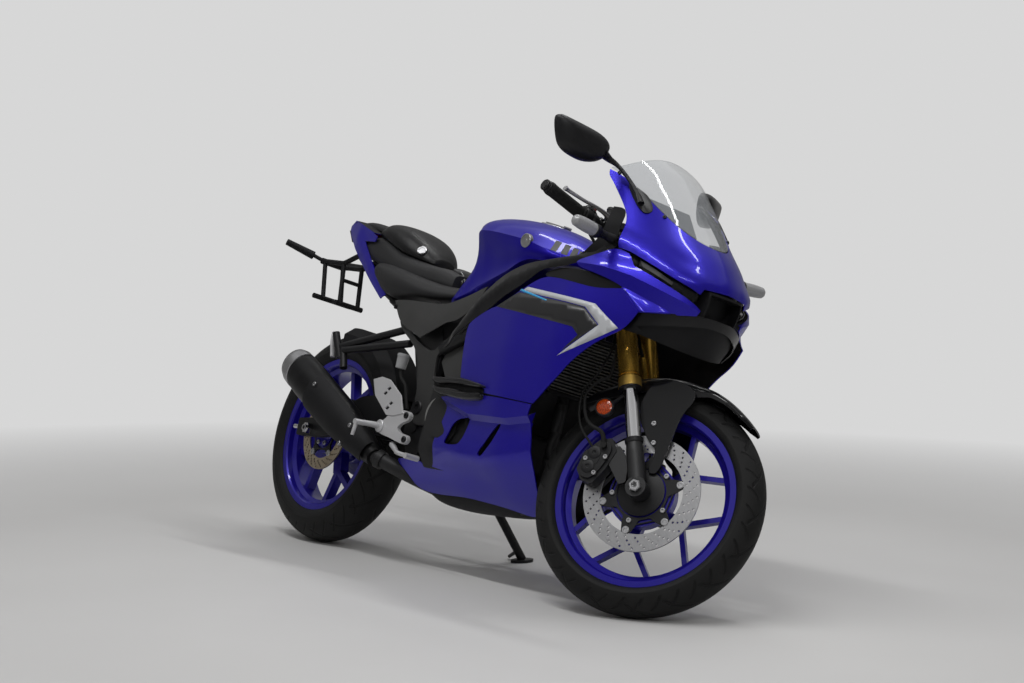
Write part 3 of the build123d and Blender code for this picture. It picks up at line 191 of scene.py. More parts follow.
class Finish:
    """A material round one Principled shader, kept in the list of finishes under its name."""

    def __init__(self, name, color, rough, metal=0.0, **sockets):
        """A shader with its colour, roughness and metal, and other sockets by name."""
        self.material = bpy.data.materials.new(name)
        self.material.use_nodes = True
        self.tree = self.material.node_tree
        self.shader = self.tree.nodes["Principled BSDF"]
        self.set("Base Color", color)
        self.set("Roughness", rough)
        self.set("Metallic", metal)
        for key, value in sockets.items():
            self.set(key.replace("_", " ").title().replace("Ior", "IOR"), value)
        self.bumps = None
        finishes[name] = self.material

    def set(self, name, value):
        """Give a socket of the shader a number, a colour or a signal."""
        socket = self.shader.inputs[name]
        if isinstance(value, Signal):
            self.tree.links.new(value.socket, socket)
        elif isinstance(value, tuple):
            socket.default_value = (*value, 1.0)
        else:
            socket.default_value = value

    def node(self, kind, settings=None, inputs=None, output=0):
        """Any node: its settings first, then the values or links of its sockets."""
        made = self.tree.nodes.new(kind)
        for key, value in (settings or {}).items():
            setattr(made, key, value)
        for key, value in (inputs or {}).items():
            if isinstance(value, Signal):
                self.tree.links.new(value.socket, made.inputs[key])
            elif value is not None:
                made.inputs[key].default_value = value
        return Signal(self, made.outputs[output])

    def place(self):
        """Object coordinates, in metres in the frame."""
        return self.node("ShaderNodeTexCoord", output="Object")

    def along(self, direction, through, steering=False):
        """Millimetres along a direction of the upright bike, from a point of it."""
        turn = STEER @ LEAN if steering else LEAN
        start = (steered if steering else leaned)(through)
        axis = turn @ np.asarray(direction, float)
        shifted = self.node("ShaderNodeVectorMath", {"operation": "SUBTRACT"},
                            {0: self.place(), 1: tuple(start)})
        reach = self.node("ShaderNodeVectorMath", {"operation": "DOT_PRODUCT"},
                          {0: shifted, 1: tuple(axis)}, "Value")
        return reach * (1 / MM)

    def wheel(self, axle, steering=False):
        """(radius, angle, offset across) round a wheel axle, in millimetres and radians."""
        fore = self.along((1, 0, 0), axle, steering)
        high = self.along((0, 0, 1), axle, steering)
        return (fore * fore + high * high).root(), high.arctan2(fore), self.along(ACROSS, axle, steering)

    def noise(self, scale, detail, rough=0.5, stretch=None):
        """Cloudy noise from 0 to 1, with a scale in lumps a metre."""
        place = self.place()
        if stretch:
            place = self.node("ShaderNodeVectorMath", {"operation": "MULTIPLY"}, {0: place, 1: stretch})
        inputs = {"Vector": place, "Scale": scale, "Detail": detail, "Roughness": rough}
        return self.node("ShaderNodeTexNoise", None, inputs)

    def cells(self, scale, feature="DISTANCE_TO_EDGE"):
        """Voronoi cells: the distance from their borders, or from their middles."""
        return self.node("ShaderNodeTexVoronoi", {"feature": feature},
                         {"Vector": self.place(), "Scale": scale})

    def blend(self, mask, low, high):
        """A colour that goes from low to high with a mask."""
        low, high = ((*color, 1.0) if isinstance(color, tuple) else color for color in (low, high))
        inputs = {0: mask, MIX_LOW: low, MIX_HIGH: high}
        return self.node("ShaderNodeMix", {"data_type": "RGBA"}, inputs, MIX_OUT)

    def bump(self, height, depth, strength=1.0):
        """Relief from a height of 0 to 1, that many metres deep; calls add up."""
        inputs = {"Height": height, "Distance": depth, "Strength": strength}
        if self.bumps:
            inputs["Normal"] = self.bumps
        self.bumps = self.node("ShaderNodeBump", None, inputs)
        self.set("Normal", self.bumps)
        return self


# ---- finishes ----------------------------------------------------------------------------------------
def add_finish(name, color, rough, metal=0.0, to=None, patches=(), specular=None, grain=None, wear=None,
               **sockets):
    """A finish of one colour, with any of these: patches (noise scale, detail and perhaps a soft edge) in
    which the colour goes to another one, a grain (scale, detail, depth in metres, strength) and wear
    (scale, detail, span), which adds up to its span to the roughness."""
    made = Finish(name, color, rough, metal, **sockets)
    if specular is not None:
        made.set("Specular IOR Level", specular)
    if to:
        mask = made.noise(*patches[:2])
        made.set("Base Color", made.blend(mask.step(*patches[2:]) if patches[2:] else mask, color, to))
    if grain:
        scale, detail, depth, strength = grain
        made.bump(made.noise(scale, detail), depth, strength)
    if wear:
        scale, detail, span = wear
        made.set("Roughness", made.noise(scale, detail) * span + rough)
    return made


def add_painted():
    """Deep blue paint with fine flakes, a darker and less glossy copy of it for the tank that is painted
    shade, and clear or black coats over plastic and metal.
    """
    flakes = (900, 1, 0.5, 0.5)
    add_finish("blue_paint", (0.007, 0.002, 0.27), 0.34, 0.5, (0.014, 0.005, 0.4), flakes, 0.25,
               coat_weight=0.6, coat_roughness=0.03, coat_ior=1.33)
    # A darker copy of the blue paint for the tank: painted shade, standing in for the darker look of the
    # tank's top.
    add_finish("shaded_tank_paint", (0.006, 0.002, 0.22), 0.36, 0.4, (0.011, 0.004, 0.32), flakes, 0.1,
               coat_weight=0.35, coat_roughness=0.04, coat_ior=1.3)
    add_finish("wheel_paint", (0.012, 0.006, 0.26), 0.34, 0.35, specular=0.3, grain=(700, 2, 0.0002, 0.12),
               coat_weight=0.6, coat_roughness=0.08, coat_ior=1.36)
    add_finish("gloss_black", (0.003, 0.003, 0.004), 0.3, specular=0.15, grain=(60, 1, 0.0004, 0.05),
               coat_weight=0.6, coat_roughness=0.04, coat_ior=1.4)
    add_finish("satin_black", (0.007, 0.007, 0.008), 0.36, specular=0.3, grain=(420, 2, 0.0003, 0.15),
               wear=(420, 2, 0.16))
    add_finish("muffler_black", (0.003, 0.003, 0.0035), 0.34, specular=0.22, wear=(40, 2, 0.1))
    add_finish("frame_grey", (0.03, 0.03, 0.03), 0.44, specular=0.3, grain=(500, 2, 0.0003, 0.2))
    add_finish("stripe_silver", (0.42, 0.43, 0.45), 0.45, 0.1, (0.52, 0.53, 0.55), (1600, 1),
               coat_weight=0.2, coat_roughness=0.1)
    add_finish("stripe_dark", (0.006, 0.006, 0.007), 0.4, wear=(900, 1, 0.1), coat_weight=0.25,
               coat_roughness=0.2)
    add_finish("stripe_cyan", (0.004, 0.3, 0.62), 0.3, wear=(700, 1, 0.1), coat_weight=0.6,
               coat_roughness=0.06)


def add_plastics():
    """Moulded black and grey parts, rubber, and lamp and screen plastic."""
    add_finish("matt_black", (0.004, 0.004, 0.005), 0.62, 0.0, (0.009, 0.009, 0.01), (14, 3), 0.2,
               (900, 3, 0.0004, 0.35))
    add_finish("grey_plastic", (0.032, 0.032, 0.032), 0.58, 0.0, (0.046, 0.046, 0.045), (9, 2), 0.35,
               (1100, 3, 0.0004, 0.4))
    add_finish("rubber", (0.008, 0.008, 0.008), 0.72, specular=0.25, grain=(1300, 2, 0.0003, 0.4))
    add_finish("smoked_screen", (0.36, 0.38, 0.4), 0.04, coat_weight=0.6, alpha=0.34)
    add_finish("headlamp_glass", (0.05, 0.05, 0.052), 0.12, grain=(300, 1, 0.0004, 0.1),
               coat_weight=0.7, coat_roughness=0.04)
    add_finish("indicator_lens", (0.2, 0.2, 0.205), 0.2, 0.0, (0.36, 0.365, 0.37), (500, 2),
               coat_weight=0.5, coat_roughness=0.08)


def add_metals():
    """Plated, cast, anodised and machined metal."""
    add_finish("chrome", (0.62, 0.62, 0.63), 0.08, 1.0, wear=(9, 2, 0.05))
    add_finish("cast_alloy", (0.42, 0.42, 0.43), 0.28, 0.9, grain=(500, 3, 0.0004, 0.25), wear=(500, 3, 0.2))
    add_finish("engine_grey", (0.022, 0.022, 0.023), 0.5, 0.3, specular=0.3, grain=(380, 4, 0.0008, 0.3))
    add_finish("cover_grey", (0.16, 0.16, 0.155), 0.5, grain=(420, 3, 0.0005, 0.3))
    add_finish("silver_plate", (0.5, 0.5, 0.51), 0.3, 0.35, specular=0.4, wear=(60, 2, 0.14))
    add_finish("gold", (0.58, 0.33, 0.055), 0.2, 0.95, wear=(8, 2, 0.06))
    add_finish("mirror_glass", (0.66, 0.67, 0.69), 0.02, 1.0, wear=(90, 2, 0.03))
    add_finish("radiator_fin", (0.14, 0.14, 0.14), 0.5, 0.3, (0.26, 0.26, 0.25), (260, 3))


def add_brushed_steel():
    """Steel with streaks: noise that is drawn out along one direction."""
    made = Finish("brushed_steel", (0.42, 0.42, 0.43), 0.3, 1.0)
    streak = made.noise(60, 4, 0.6, (1, 14, 1))
    made.set("Roughness", streak * 0.25 + 0.2)
    made.set("Base Color", made.blend(streak, (0.34, 0.34, 0.35), (0.5, 0.5, 0.51)))


def add_tan_steel():
    """A heat stained disc: rings round the rear axle, a sine of the radius over noise."""
    made = Finish("tan_steel", (0.5, 0.42, 0.31), 0.34, 1.0)
    radius, _, _ = made.wheel(REAR_AXLE)
    rings = made.noise(30, 3) + (radius * 1.7).sine() * 0.2
    made.set("Base Color", made.blend(rings.step(0.55, 0.6), (0.42, 0.34, 0.24), (0.58, 0.5, 0.38)))


def add_vinyls():
    """Grained vinyl: raised cells with soft borders."""
    rider = add_finish("seat_vinyl", (0.009, 0.009, 0.01), 0.5, 0.0, (0.018, 0.018, 0.019), (12, 3), 0.3)
    rider.bump(rider.cells(700).step(0.12, 0.2), 0.0003, 0.5)
    pillion = add_finish("pillion_vinyl", (0.003, 0.003, 0.0035), 0.36, specular=0.3)
    pillion.bump(pillion.cells(900).step(0.12, 0.2), 0.0002, 0.35)


def add_coloured_lenses():
    """Amber and red lenses, with the cells of a reflector in them."""
    amber = add_finish("amber_lens", (0.5, 0.05, 0.004), 0.16, specular=0.3, coat_weight=0.5)
    cells = amber.cells(420)
    amber.set("Base Color", amber.blend(cells.step(0.1, 0.1), (0.12, 0.01, 0.002), (0.62, 0.075, 0.005)))
    amber.bump(cells, 0.0006, 0.4)
    red = Finish("red_lens", (0.22, 0.004, 0.004), 0.14, coat_weight=1.0)
    red.bump(red.cells(160, "F1"), 0.0008, 0.5)


def add_tread(name, axle, steering, half, radius, count=18):
    """Rubber with slanted grooves over the tread, coloured darker in the grooves as painted shade, rings on
    the sidewall and greyer patches of dust.
    """
    made = add_finish(name, (0.009, 0.009, 0.009), 0.7, specular=0.25)
    from_axle, angle, across = made.wheel(axle, steering)
    off = abs(across)
    turn = angle * (count / (2 * math.pi))
    short_cut = abs((turn * 2 + off * -0.03).fraction() - 0.5)
    long_cut = abs((turn + off * 0.016 + across.sign() * 0.25).fraction() - 0.5)
    groove = (1 - long_cut.step(0.06, 0.03)) * off.band(6, half * 0.78, 3)
    groove = groove.most((1 - short_cut.step(0.07, 0.04)) * off.band(half * 0.52, half * 0.9, 3))
    groove = groove * from_axle.step(radius - 42, 4)
    rings = abs((from_axle * 0.16).fraction() - 0.5).step(0.42, 0.06) * (1 - from_axle.step(radius - 52, 3))
    dust = made.noise(24, 4)
    made.bump(1 - groove, 0.0035, 1.0)
    made.bump(rings, 0.0008, 0.5)
    made.bump(made.noise(900, 2), 0.0002, 0.3)
    base = made.blend(dust.step(0.55, 0.5), (0.005, 0.005, 0.005), (0.01, 0.01, 0.01))
    # Painted shade: the grooves are coloured darker than the rubber round them.
    made.set("Base Color", made.blend(groove, base, (0.003, 0.003, 0.003)))
    made.set("Roughness", dust * 0.2 + 0.58)


def add_fork_leg():
    """Chrome above, and a dark painted lug round the axle."""
    made = Finish("fork_leg", (0.6, 0.6, 0.61), 0.1, 1.0)
    lug = 1 - made.along(UP, FRONT_AXLE, True).step(129, 1.5)
    made.set("Base Color", made.blend(lug, (0.62, 0.62, 0.63), (0.008, 0.008, 0.009)))
    made.set("Metallic", 1 - lug)
    made.set("Roughness", lug * 0.36 + made.noise(9, 2) * 0.08 + 0.06)


def add_fork_gold():
    """Gold anodised tubes with a duller collar over the seal."""
    made = Finish("fork_gold", (0.75, 0.45, 0.08), 0.28, 0.9)
    collar = made.along(UP, FRONT_AXLE, True).band(266, 293, 1.5)
    made.set("Base Color", made.blend(collar, (0.8, 0.47, 0.08), (0.6, 0.38, 0.09)))
    made.set("Roughness", made.noise(8, 2) * 0.06 + collar * 0.14 + 0.2)


for add_part in (add_painted, add_plastics, add_metals, add_brushed_steel, add_tan_steel, add_vinyls,
                 add_coloured_lenses, add_fork_leg, add_fork_gold):
    add_part()
add_tread("front_tread", FRONT_AXLE, True, FRONT_TYRE_W / 2, FRONT_TYRE_R)
add_tread("rear_tread", REAR_AXLE, False, REAR_TYRE_W / 2, REAR_TYRE_R)


# ---- making shapes: every tool gives (points in millimetres, faces) -----------------------------------
def joined(*shapes):
    """Several shapes as one."""
    points, faces, start = [], [], 0
    for shape_points, shape_faces in shapes:
        points.append(shape_points)
        faces.extend([[start + i for i in face] for face in shape_faces])
        start += len(shape_points)
    return np.vstack(points), faces


def turned_over(shape):
    """A shape with its faces the other way out."""
    points, faces = shape
    return points, [face[::-1] for face in faces]


def flipped(shape):
    """A shape's copy on the other side of the bike, facing outward like the shape."""
    points, faces = turned_over(shape)
    return points * (1, -1, 1), faces


def mirrored(shape):
    """A shape and its copy on the other side of the bike."""
    return joined(shape, flipped(shape))


def skin(rings, caps=True, closed=True):
    """Quads over rings of points (ring, place, xyz), with a fan over each end; a ring runs anticlockwise
    when seen from ahead of the last one."""
    rings = np.asarray(rings, float)
    count, around = rings.shape[:2]
    index = np.arange(count * around).reshape(count, around)
    after = np.roll(index, -1, 1)
    spans = slice(None) if closed else slice(0, around - 1)
    quads = np.stack([index[:-1], after[:-1], after[1:], index[1:]], -1)[:, spans].reshape(-1, 4).tolist()
    points = rings.reshape(-1, 3)
    if caps:
        points = np.vstack([points, rings[0].mean(0), rings[-1].mean(0)])
        first, last = count * around, count * around + 1
        quads += [[first, b, a] for a, b in zip(index[0].tolist(), after[0].tolist())]
        quads += [[last, a, b] for a, b in zip(index[-1].tolist(), after[-1].tolist())]
    return points, quads


def facing_out(shape, centre):
    """A shape whose faces mostly look away from a centre."""
    points, faces = shape
    corners = points[np.array([face[:3] for face in faces])]
    normals = np.cross(corners[:, 1] - corners[:, 0], corners[:, 2] - corners[:, 0])
    away = ((corners[:, 0] - np.asarray(centre, float)) * normals).sum()
    return shape if away > 0 else turned_over(shape)


def upright(y, side=RIGHT):
    """A plate's places (x, z) on a plane along the bike; depth goes toward the middle."""
    def surface(flat, depth):
        """Places and a depth to points."""
        return np.column_stack([flat[:, 0], np.full(len(flat), side * (abs(y) - depth)), flat[:, 1]])
    return surface


def frame_of(direction, level=(0, 0, 1)):
    """Two directions square to a line, the first nearest to level."""
    ahead = np.asarray(direction, float)
    ahead = ahead / np.linalg.norm(ahead, axis=-1, keepdims=True)
    side = np.cross(level, ahead)
    side = side / np.linalg.norm(side, axis=-1, keepdims=True)
    return ahead, side, np.cross(ahead, side)


def lathe(profile, start, direction, sides=32, turn=0.0, level=(0, 0, 1), caps=True):
    """A profile of (distance along, radius) turned about a line: start + along * a + radius * (cos, sin)."""
    along, radius = np.asarray(profile, float).T
    ahead, side, above = frame_of(direction, level)
    angle = np.linspace(0, 2 * math.pi, sides, endpoint=False) + turn
    spoke = np.cos(angle)[:, None] * side + np.sin(angle)[:, None] * above
    rings = np.asarray(start, float) + along[:, None, None] * ahead + radius[:, None, None] * spoke
    return skin(rings, caps)


def smooth_line(points, steps=6):
    """A Catmull-Rom curve through points: the cubic whose slope at each is half its neighbours' gap."""
    p = np.asarray(points, float)
    p = np.vstack([2 * p[0] - p[1], p, 2 * p[-1] - p[-2]])
    a, b, c, d = p[:-3], p[1:-2], p[2:-1], p[3:]
    t = np.linspace(0, 1, steps, endpoint=False)[:, None, None]
    run = 0.5 * (2 * b + (c - a) * t + (2 * a - 5 * b + 4 * c - d) * t**2 + (3 * b - a - 3 * c + d) * t**3)
    return np.vstack([run.transpose(1, 0, 2).reshape(-1, p.shape[1]), p[-2]])


def tube(path, radius, sides=12, level=(0, 0, 1), flat=1.0, steps=6):
    """A round or flattened section carried along a smooth line; the radius may change on the way."""
    line = smooth_line(path, steps) if steps > 1 else np.asarray(path, float)
    widths = np.interp(np.linspace(0, 1, len(line)), np.linspace(0, 1, np.size(radius)),
                       np.atleast_1d(radius))
    slope = np.gradient(line, axis=0)
    _, side, above = frame_of(slope, level)
    angle = np.linspace(0, 2 * math.pi, sides, endpoint=False)[:, None]
    rings = line[:, None] + widths[:, None, None] * (
        np.cos(angle) * side[:, None] + np.sin(angle) * above[:, None] * flat)
    return skin(rings)


def dense(line, spacing, closed=False):
    """A run of points cut into steps no longer than the spacing."""
    points = np.asarray(line, float)
    if closed:
        points = np.vstack([points, points[:1]])
    parts = []
    for start, end in zip(points[:-1], points[1:]):
        count = max(1, math.ceil(np.linalg.norm(end - start) / spacing))
        parts.append(start + (end - start) * np.arange(count)[:, None] / count)
    return np.vstack(parts if closed else [*parts, points[-1:]])


def curved(points, rounds=2):
    """A closed outline with its corners cut, over and over; a third value keeps a corner sharp."""
    line = np.array([(*point[:2], len(point) > 2) for point in points], float)
    for _ in range(rounds):
        after = np.roll(line, -1, 0)
        sharp = line[:, 2:] > 0
        first = np.where(sharp, line, line + (after - line) * (0.25, 0.25, 1))
        first[:, 2] = sharp[:, 0]
        second = line + (after - line) * 0.75
        second[:, 2] = 0
        line = np.stack([first, second], 1).reshape(-1, 3)
    return line[:, :2]


def inside(places, outline):
    """Which places an outline holds: an odd count of its edges lies to their right."""
    x, y = places[:, :1], places[:, 1:2]
    a, b = outline, np.roll(outline, -1, 0)
    rise = b[:, 1] - a[:, 1]
    crossing = a[:, 0] + (y - a[:, 1]) / np.where(rise == 0, 1e-9, rise) * (b[:, 0] - a[:, 0])
    hit = ((a[:, 1] > y) != (b[:, 1] > y)) & (x < crossing)
    return hit.sum(1) % 2 == 1


def within(places, rings):
    """Which places the first outline holds, and none of the others, its holes, does."""
    held = inside(places, rings[0])
    for hole in rings[1:]:
        held &= ~inside(places, hole)
    return held


def near(places, line, closed=False):
    """Distance of places from a run of points."""
    a = np.asarray(line, float)
    b = np.roll(a, -1, 0) if closed else a[1:]
    a = a if closed else a[:-1]
    step = b - a
    t = ((places[:, None] - a) * step).sum(-1) / np.maximum((step**2).sum(-1), 1e-9)
    foot = a + np.clip(t, 0, 1)[..., None] * step
    return np.sqrt(((places[:, None] - foot) ** 2).sum(-1)).min(1)


def tent(places, line, width):
    """1 on a line, falling evenly to 0 at a width from it."""
    return np.clip(1 - near(places, line) / width, 0, 1)


ROW_GAP = 0.87  # of the spacing, as in even triangles
CLEAR_OF_LINES = 0.55  # of the spacing, between a filling point and a line


def flat_sheet(outline, holes=(), ridges=(), spacing=12.0):
    """A flat outline with its holes, filled with even triangles whose edges follow the ridges."""
    rings = [dense(outline, spacing, True), *(dense(hole, spacing, True) for hole in holes)]
    lines = [dense(ridge, spacing) for ridge in ridges]
    edges, start = [], 0
    for k, run in enumerate([*rings, *lines]):
        count = len(run)
        edges += [(start + i, start + (i + 1) % count) for i in range(count if k < len(rings) else count - 1)]
        start += count
    low, high = rings[0].min(0), rings[0].max(0)
    rows = np.arange(low[1], high[1], spacing * ROW_GAP)
    columns, rows = np.meshgrid(np.arange(low[0], high[0], spacing), rows)
    columns = columns + (np.arange(columns.shape[0]) % 2)[:, None] * spacing / 2
    grid = np.column_stack([columns.ravel(), rows.ravel()])
    grid = grid[within(grid, rings)]
    for k, run in enumerate([*rings, *lines]):
        grid = grid[near(grid, run, k < len(rings)) > spacing * CLEAR_OF_LINES]
    places = np.vstack([*rings, *lines, grid])
    made = delaunay_2d_cdt([Vector(place) for place in places], edges, [], 0, 1e-4)
    flat, faces = np.array([tuple(v) for v in made[0]]), np.array(made[2])
    return flat, faces[within(flat[faces].mean(1), rings)].tolist()


def panel(outline, surface, holes=(), ridges=(), spacing=12.0, rounds=2):
    """A flat sheet laid on a surface, a function from the sheet's places to points."""
    flat, faces = flat_sheet(curved(outline, rounds), [curved(hole, rounds) for hole in holes], ridges,
                             spacing)
    return surface(flat), faces


def plate(outline, thick, surface, holes=(), spacing=30.0, rounds=0):
    """A flat sheet with a thickness, closed at its edges; surface(flat, depth) gives its points."""
    flat, faces = flat_sheet(curved(outline, rounds), [curved(hole, rounds) for hole in holes], (), spacing)
    count = len(flat)
    edges = dict.fromkeys(edge for face in faces for edge in zip(face, face[1:] + face[:1]))
    rim = [[a + count, b + count, b, a] for a, b in edges if (b, a) not in edges]
    back = [[i + count for i in face[::-1]] for face in faces]
    return np.vstack([surface(flat, 0), surface(flat, thick)]), faces + back + rim


def ring_of(radius, count, centre=(0, 0), turn=0.0):
    """Points round a circle."""
    angle = np.linspace(0, 2 * math.pi, count, endpoint=False) + turn
    return np.column_stack([centre[0] + radius * np.cos(angle), centre[1] + radius * np.sin(angle)])


def bolts(places, direction, radius=6.0, head=4.0):
    """Round heads with a socket, standing on places; rim and socket are shares of the radius and the head."""
    profile = [(-2, radius), (head * 0.8, radius), (head, radius * 0.85), (head, radius * 0.5),
               (head * 0.35, radius * 0.45)]
    return joined(*(lathe(profile, place, direction, 12) for place in places))


def add_object(name, points, faces, material):
    """A smooth mesh with one material, as a new object."""
    mesh = bpy.data.meshes.new(name)
    mesh.from_pydata(points.tolist(), [], faces)
    mesh.polygons.foreach_set("use_smooth", np.ones(len(faces), bool))
    mesh.materials.append(material)
    made = bpy.data.objects.new(name, mesh)
    bpy.context.collection.objects.link(made)
    return made


def modify(piece, kind, **settings):
    """Put a modifier with its settings on a piece."""
    modifier = piece.modifiers.new(kind.lower(), kind)
    for key, value in settings.items():
        setattr(modifier, key, value)


def show(name, shape, look, body="frame", wall=0.0, bevel=0.0, sharp=32, slot=None, replaces=(), even=True):
    """A piece of the bike in its place, with its finish; a wall is added inward, and its rims are eased."""
    points, faces = shape
    piece = add_object(name, PLACE[body](points), faces, finishes[look])
    piece.data.set_sharp_from_angle(angle=math.radians(sharp))
    if wall:
        lined = look in ("blue_paint", "shaded_tank_paint")
        if lined:
            piece.data.materials.append(finishes["matt_black"])
        modify(piece, "SOLIDIFY", thickness=wall * MM, offset=-1, use_even_offset=even,
               material_offset=int(lined))
    if bevel:
        modify(piece, "BEVEL", width=bevel * MM, segments=2, limit_method="ANGLE",
               angle_limit=math.radians(50), harden_normals=True)
    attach(piece, body)
    if replaces:
        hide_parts(*replaces)
    return piece


# ---- the fairing's surfaces --------------------------------------------------------------------------
def smooth_table(xs, zs, table, reach, step=5.0):
    """A height over a plane: straight lines between the table's values, then smoothed over a reach."""
    xs, zs, table = (np.asarray(values, float) for values in (xs, zs, table))
    fine_x = np.arange(xs[0], xs[-1] + step, step)
    fine_z = np.arange(zs[0], zs[-1] + step, step)
    rows = np.array([np.interp(fine_z, zs, row) for row in table])
    fine = np.array([np.interp(fine_x, xs, column) for column in rows.T]).T
    count = int(3 * reach / step)
    bell = np.exp(-0.5 * (np.arange(-count, count + 1) * step / reach) ** 2)
    bell /= bell.sum()
    for axis in (0, 1):
        padding = [(count, count) if axis == k else (0, 0) for k in (0, 1)]
        padded = np.pad(fine, padding, mode="reflect", reflect_type="odd")
        fine = np.apply_along_axis(lambda run: np.convolve(run, bell, "valid"), axis, padded)

    def at(x, z):
        """The height at places, by straight lines between the four values around each."""
        x = np.clip((np.asarray(x, float) - fine_x[0]) / step, 0, len(fine_x) - 1.001)
        z = np.clip((np.asarray(z, float) - fine_z[0]) / step, 0, len(fine_z) - 1.001)
        i, j = x.astype(int), z.astype(int)
        u, v = x - i, z - j
        return (fine[i, j] * (1 - u) * (1 - v) + fine[i + 1, j] * u * (1 - v)
                + fine[i, j + 1] * (1 - u) * v + fine[i + 1, j + 1] * u * v)

    return at


flank_half = smooth_table(
    (480, 800, 1000, 1200, 1420),
    (170, 200, 300, 455, 720, 900),
    ((70, 120, 160, 160, 160, 150), (70, 120, 188, 210, 212, 190), (50, 100, 196, 232, 236, 208),
     (40, 70, 170, 226, 238, 212), (40, 60, 110, 150, 176, 176)),
    22,
)
NOSE_Z = (640, 740, 830, 900, 960, 1050, 1130, 1172)
NOSE_OVALS = (  # centre, length ahead of it and half width at those heights
    (1200, 1200, 1195, 1180, 1160, 1128, 1092, 1066),
    (262, 298, 312, 278, 236, 186, 144, 104),
    (190, 216, 220, 210, 196, 180, 160, 128),
)
nose_rows = [smooth_table(NOSE_Z, (0, 10), np.column_stack([row, row]), 14) for row in NOSE_OVALS]
NOSE_ARC = 4.5  # millimetres of a nose panel's flat sheet for each degree round the nose


def flank(relief=0.0):
    """Right side wall: (x, z) goes to y = -half width, with a relief outward."""
    def surface(flat):
        """The wall's points at a sheet's places."""
        lift = relief(flat) if callable(relief) else relief
        return np.column_stack([flat[:, 0], -flank_half(flat[:, 0], flat[:, 1]) - lift, flat[:, 1]])
    return surface


def nose(relief=0.0):
    """Nose wall: (arc, z) goes to an oval's point at that angle, with a relief outward."""
    def surface(flat):
        """The wall's points at a sheet's places."""
        lift = relief(flat) if callable(relief) else relief
        centre, length, half = (row(flat[:, 1], 0 * flat[:, 1]) for row in nose_rows)
        angle = np.radians(flat[:, 0] / NOSE_ARC)
        return np.column_stack([
            centre + (length + lift) * np.cos(angle), (half + lift) * np.sin(angle), flat[:, 1]])
    return surface


def on_arc(points):
    """A nose outline of (degrees, height), as a flat sheet's places."""
    return [(point[0] * NOSE_ARC, *point[1:]) for point in points]


def across_nose(points):
    """The left side's copy of a nose outline, run backwards."""
    return [(-point[0], *point[1:]) for point in points[::-1]]


# ---- side panels -------------------------------------------------------------------------------------
SIDE_COWL = [(903, 704), (947, 725), (994, 751), (1061, 788), (1122, 787), (1200, 776), (1267, 768),
             (1345, 776, 1), (1404, 722, 1), (1376, 678), (1306, 640), (1249, 588), (1212, 536), (1184, 505),
             (1164, 482), (1143, 462, 1), (1051, 466), (927, 473, 1), (893, 499), (803, 507, 1), (783, 579),
             (771, 645), (789, 662), (861, 694)]
COWL_FOLD = [(820, 560), (950, 590), (1110, 600), (1230, 640), (1340, 700), (1402, 722)]


def cowl_relief(flat):
    """A soft ridge along the fold."""
    return 5 * tent(flat, COWL_FOLD, 150)


def add_side_cowls():
    """The side walls of the fairing, with three stripes laid on them one over the other."""
    cowl = panel(SIDE_COWL, flank(cowl_relief), ridges=[COWL_FOLD], spacing=13)
    show("side_cowl_panels", mirrored(cowl), "blue_paint", **SHELL, replaces=["side_cowls"])
    bands = (
        ("chevron_silver", "stripe_silver", [(1014, 758, 1), (1279, 729, 1), (1358, 677, 1), (1200, 587, 1),
                                             (1303, 678, 1), (1253, 718, 1), (997, 746, 1)]),
        ("chevron_dark", "stripe_dark", [(985, 743, 1), (1251, 717, 1), (1301, 677, 1), (1211, 601, 1),
                                         (1250, 646, 1), (1229, 664, 1), (896, 702, 1)]),
        ("chevron_line", "stripe_cyan", [(990, 752, 1), (1112, 727, 1), (1110, 723, 1), (984, 747, 1)]),
    )
    for k, (name, look, outline) in enumerate(bands):
        band = panel(outline, flank(lambda flat: cowl_relief(flat) + 0.5 + 0.1 * k), ridges=[COWL_FOLD],
                     spacing=13, rounds=0)
        show(name, mirrored(band), look, wall=0.5, slot="cowl_blue" if k != 1 else "black_matt")


LOWER_COWL = [(1143, 459, 1), (1051, 463), (919, 467), (724, 451, 1), (740, 437), (742, 417), (719, 376),
              (704, 346), (708, 302), (687, 262), (660, 261), (627, 277), (519, 277), (508, 267), (559, 238),
              (594, 205), (677, 200), (804, 207), (892, 205), (974, 201), (1077, 190), (1102, 220),
              (1132, 280), (1137, 343), (1129, 391), (1129, 427)]
VENTS = ([(789, 395), (862, 408), (872, 400), (835, 341), (818, 332), (763, 330), (758, 340)],
         [(993, 394), (1013, 404), (1014, 395), (945, 315), (926, 313), (921, 324)])
LOWER_FOLDS = ([(735, 447), (809, 430), (874, 415), (982, 415), (1044, 416), (1129, 430)],
               [(711, 319), (769, 319), (860, 308), (947, 302), (1060, 330), (1133, 345)])
LOWER_LEFT = [*LOWER_COWL[:9], (690, 268, 1), (706, 207, 1), *LOWER_COWL[17:]]  # clear of the stand
LEDGE = 14


def lower_relief(flat):
    """A step inward below the upper fold, 14 mm high and deep, and a soft ridge along the lower one."""
    upper, lower = (np.array(fold, float) for fold in LOWER_FOLDS)
    ledge = np.clip((np.interp(flat[:, 0], *upper.T) - flat[:, 1]) / LEDGE, 0, 1)
    return 5 - LEDGE * ledge + 8 * tent(flat, lower, 44)


def add_lower_cowls():
    """The lower walls with their vents, and a dark well behind each vent, a little wider than it."""
    below = [[(x, z - LEDGE) for x, z in LOWER_FOLDS[0]]]
    right, left = (panel(outline, flank(lower_relief), holes=VENTS, ridges=[*LOWER_FOLDS, *below], spacing=11)
                   for outline in (LOWER_COWL, LOWER_LEFT))
    show("lower_cowl_panels", joined(right, flipped(left)), "blue_paint", **SHELL, replaces=["lower_cowls"])
    wells = []
    for vent in VENTS:
        grow = np.array(vent) + (np.array(vent) - np.mean(vent, 0)) * 0.12
        wells.append(panel(grow.tolist(), flank(lambda flat: lower_relief(flat) - 16), spacing=20))
    show("vent_wells", mirrored(joined(*wells)), "matt_black", wall=2, even=False)


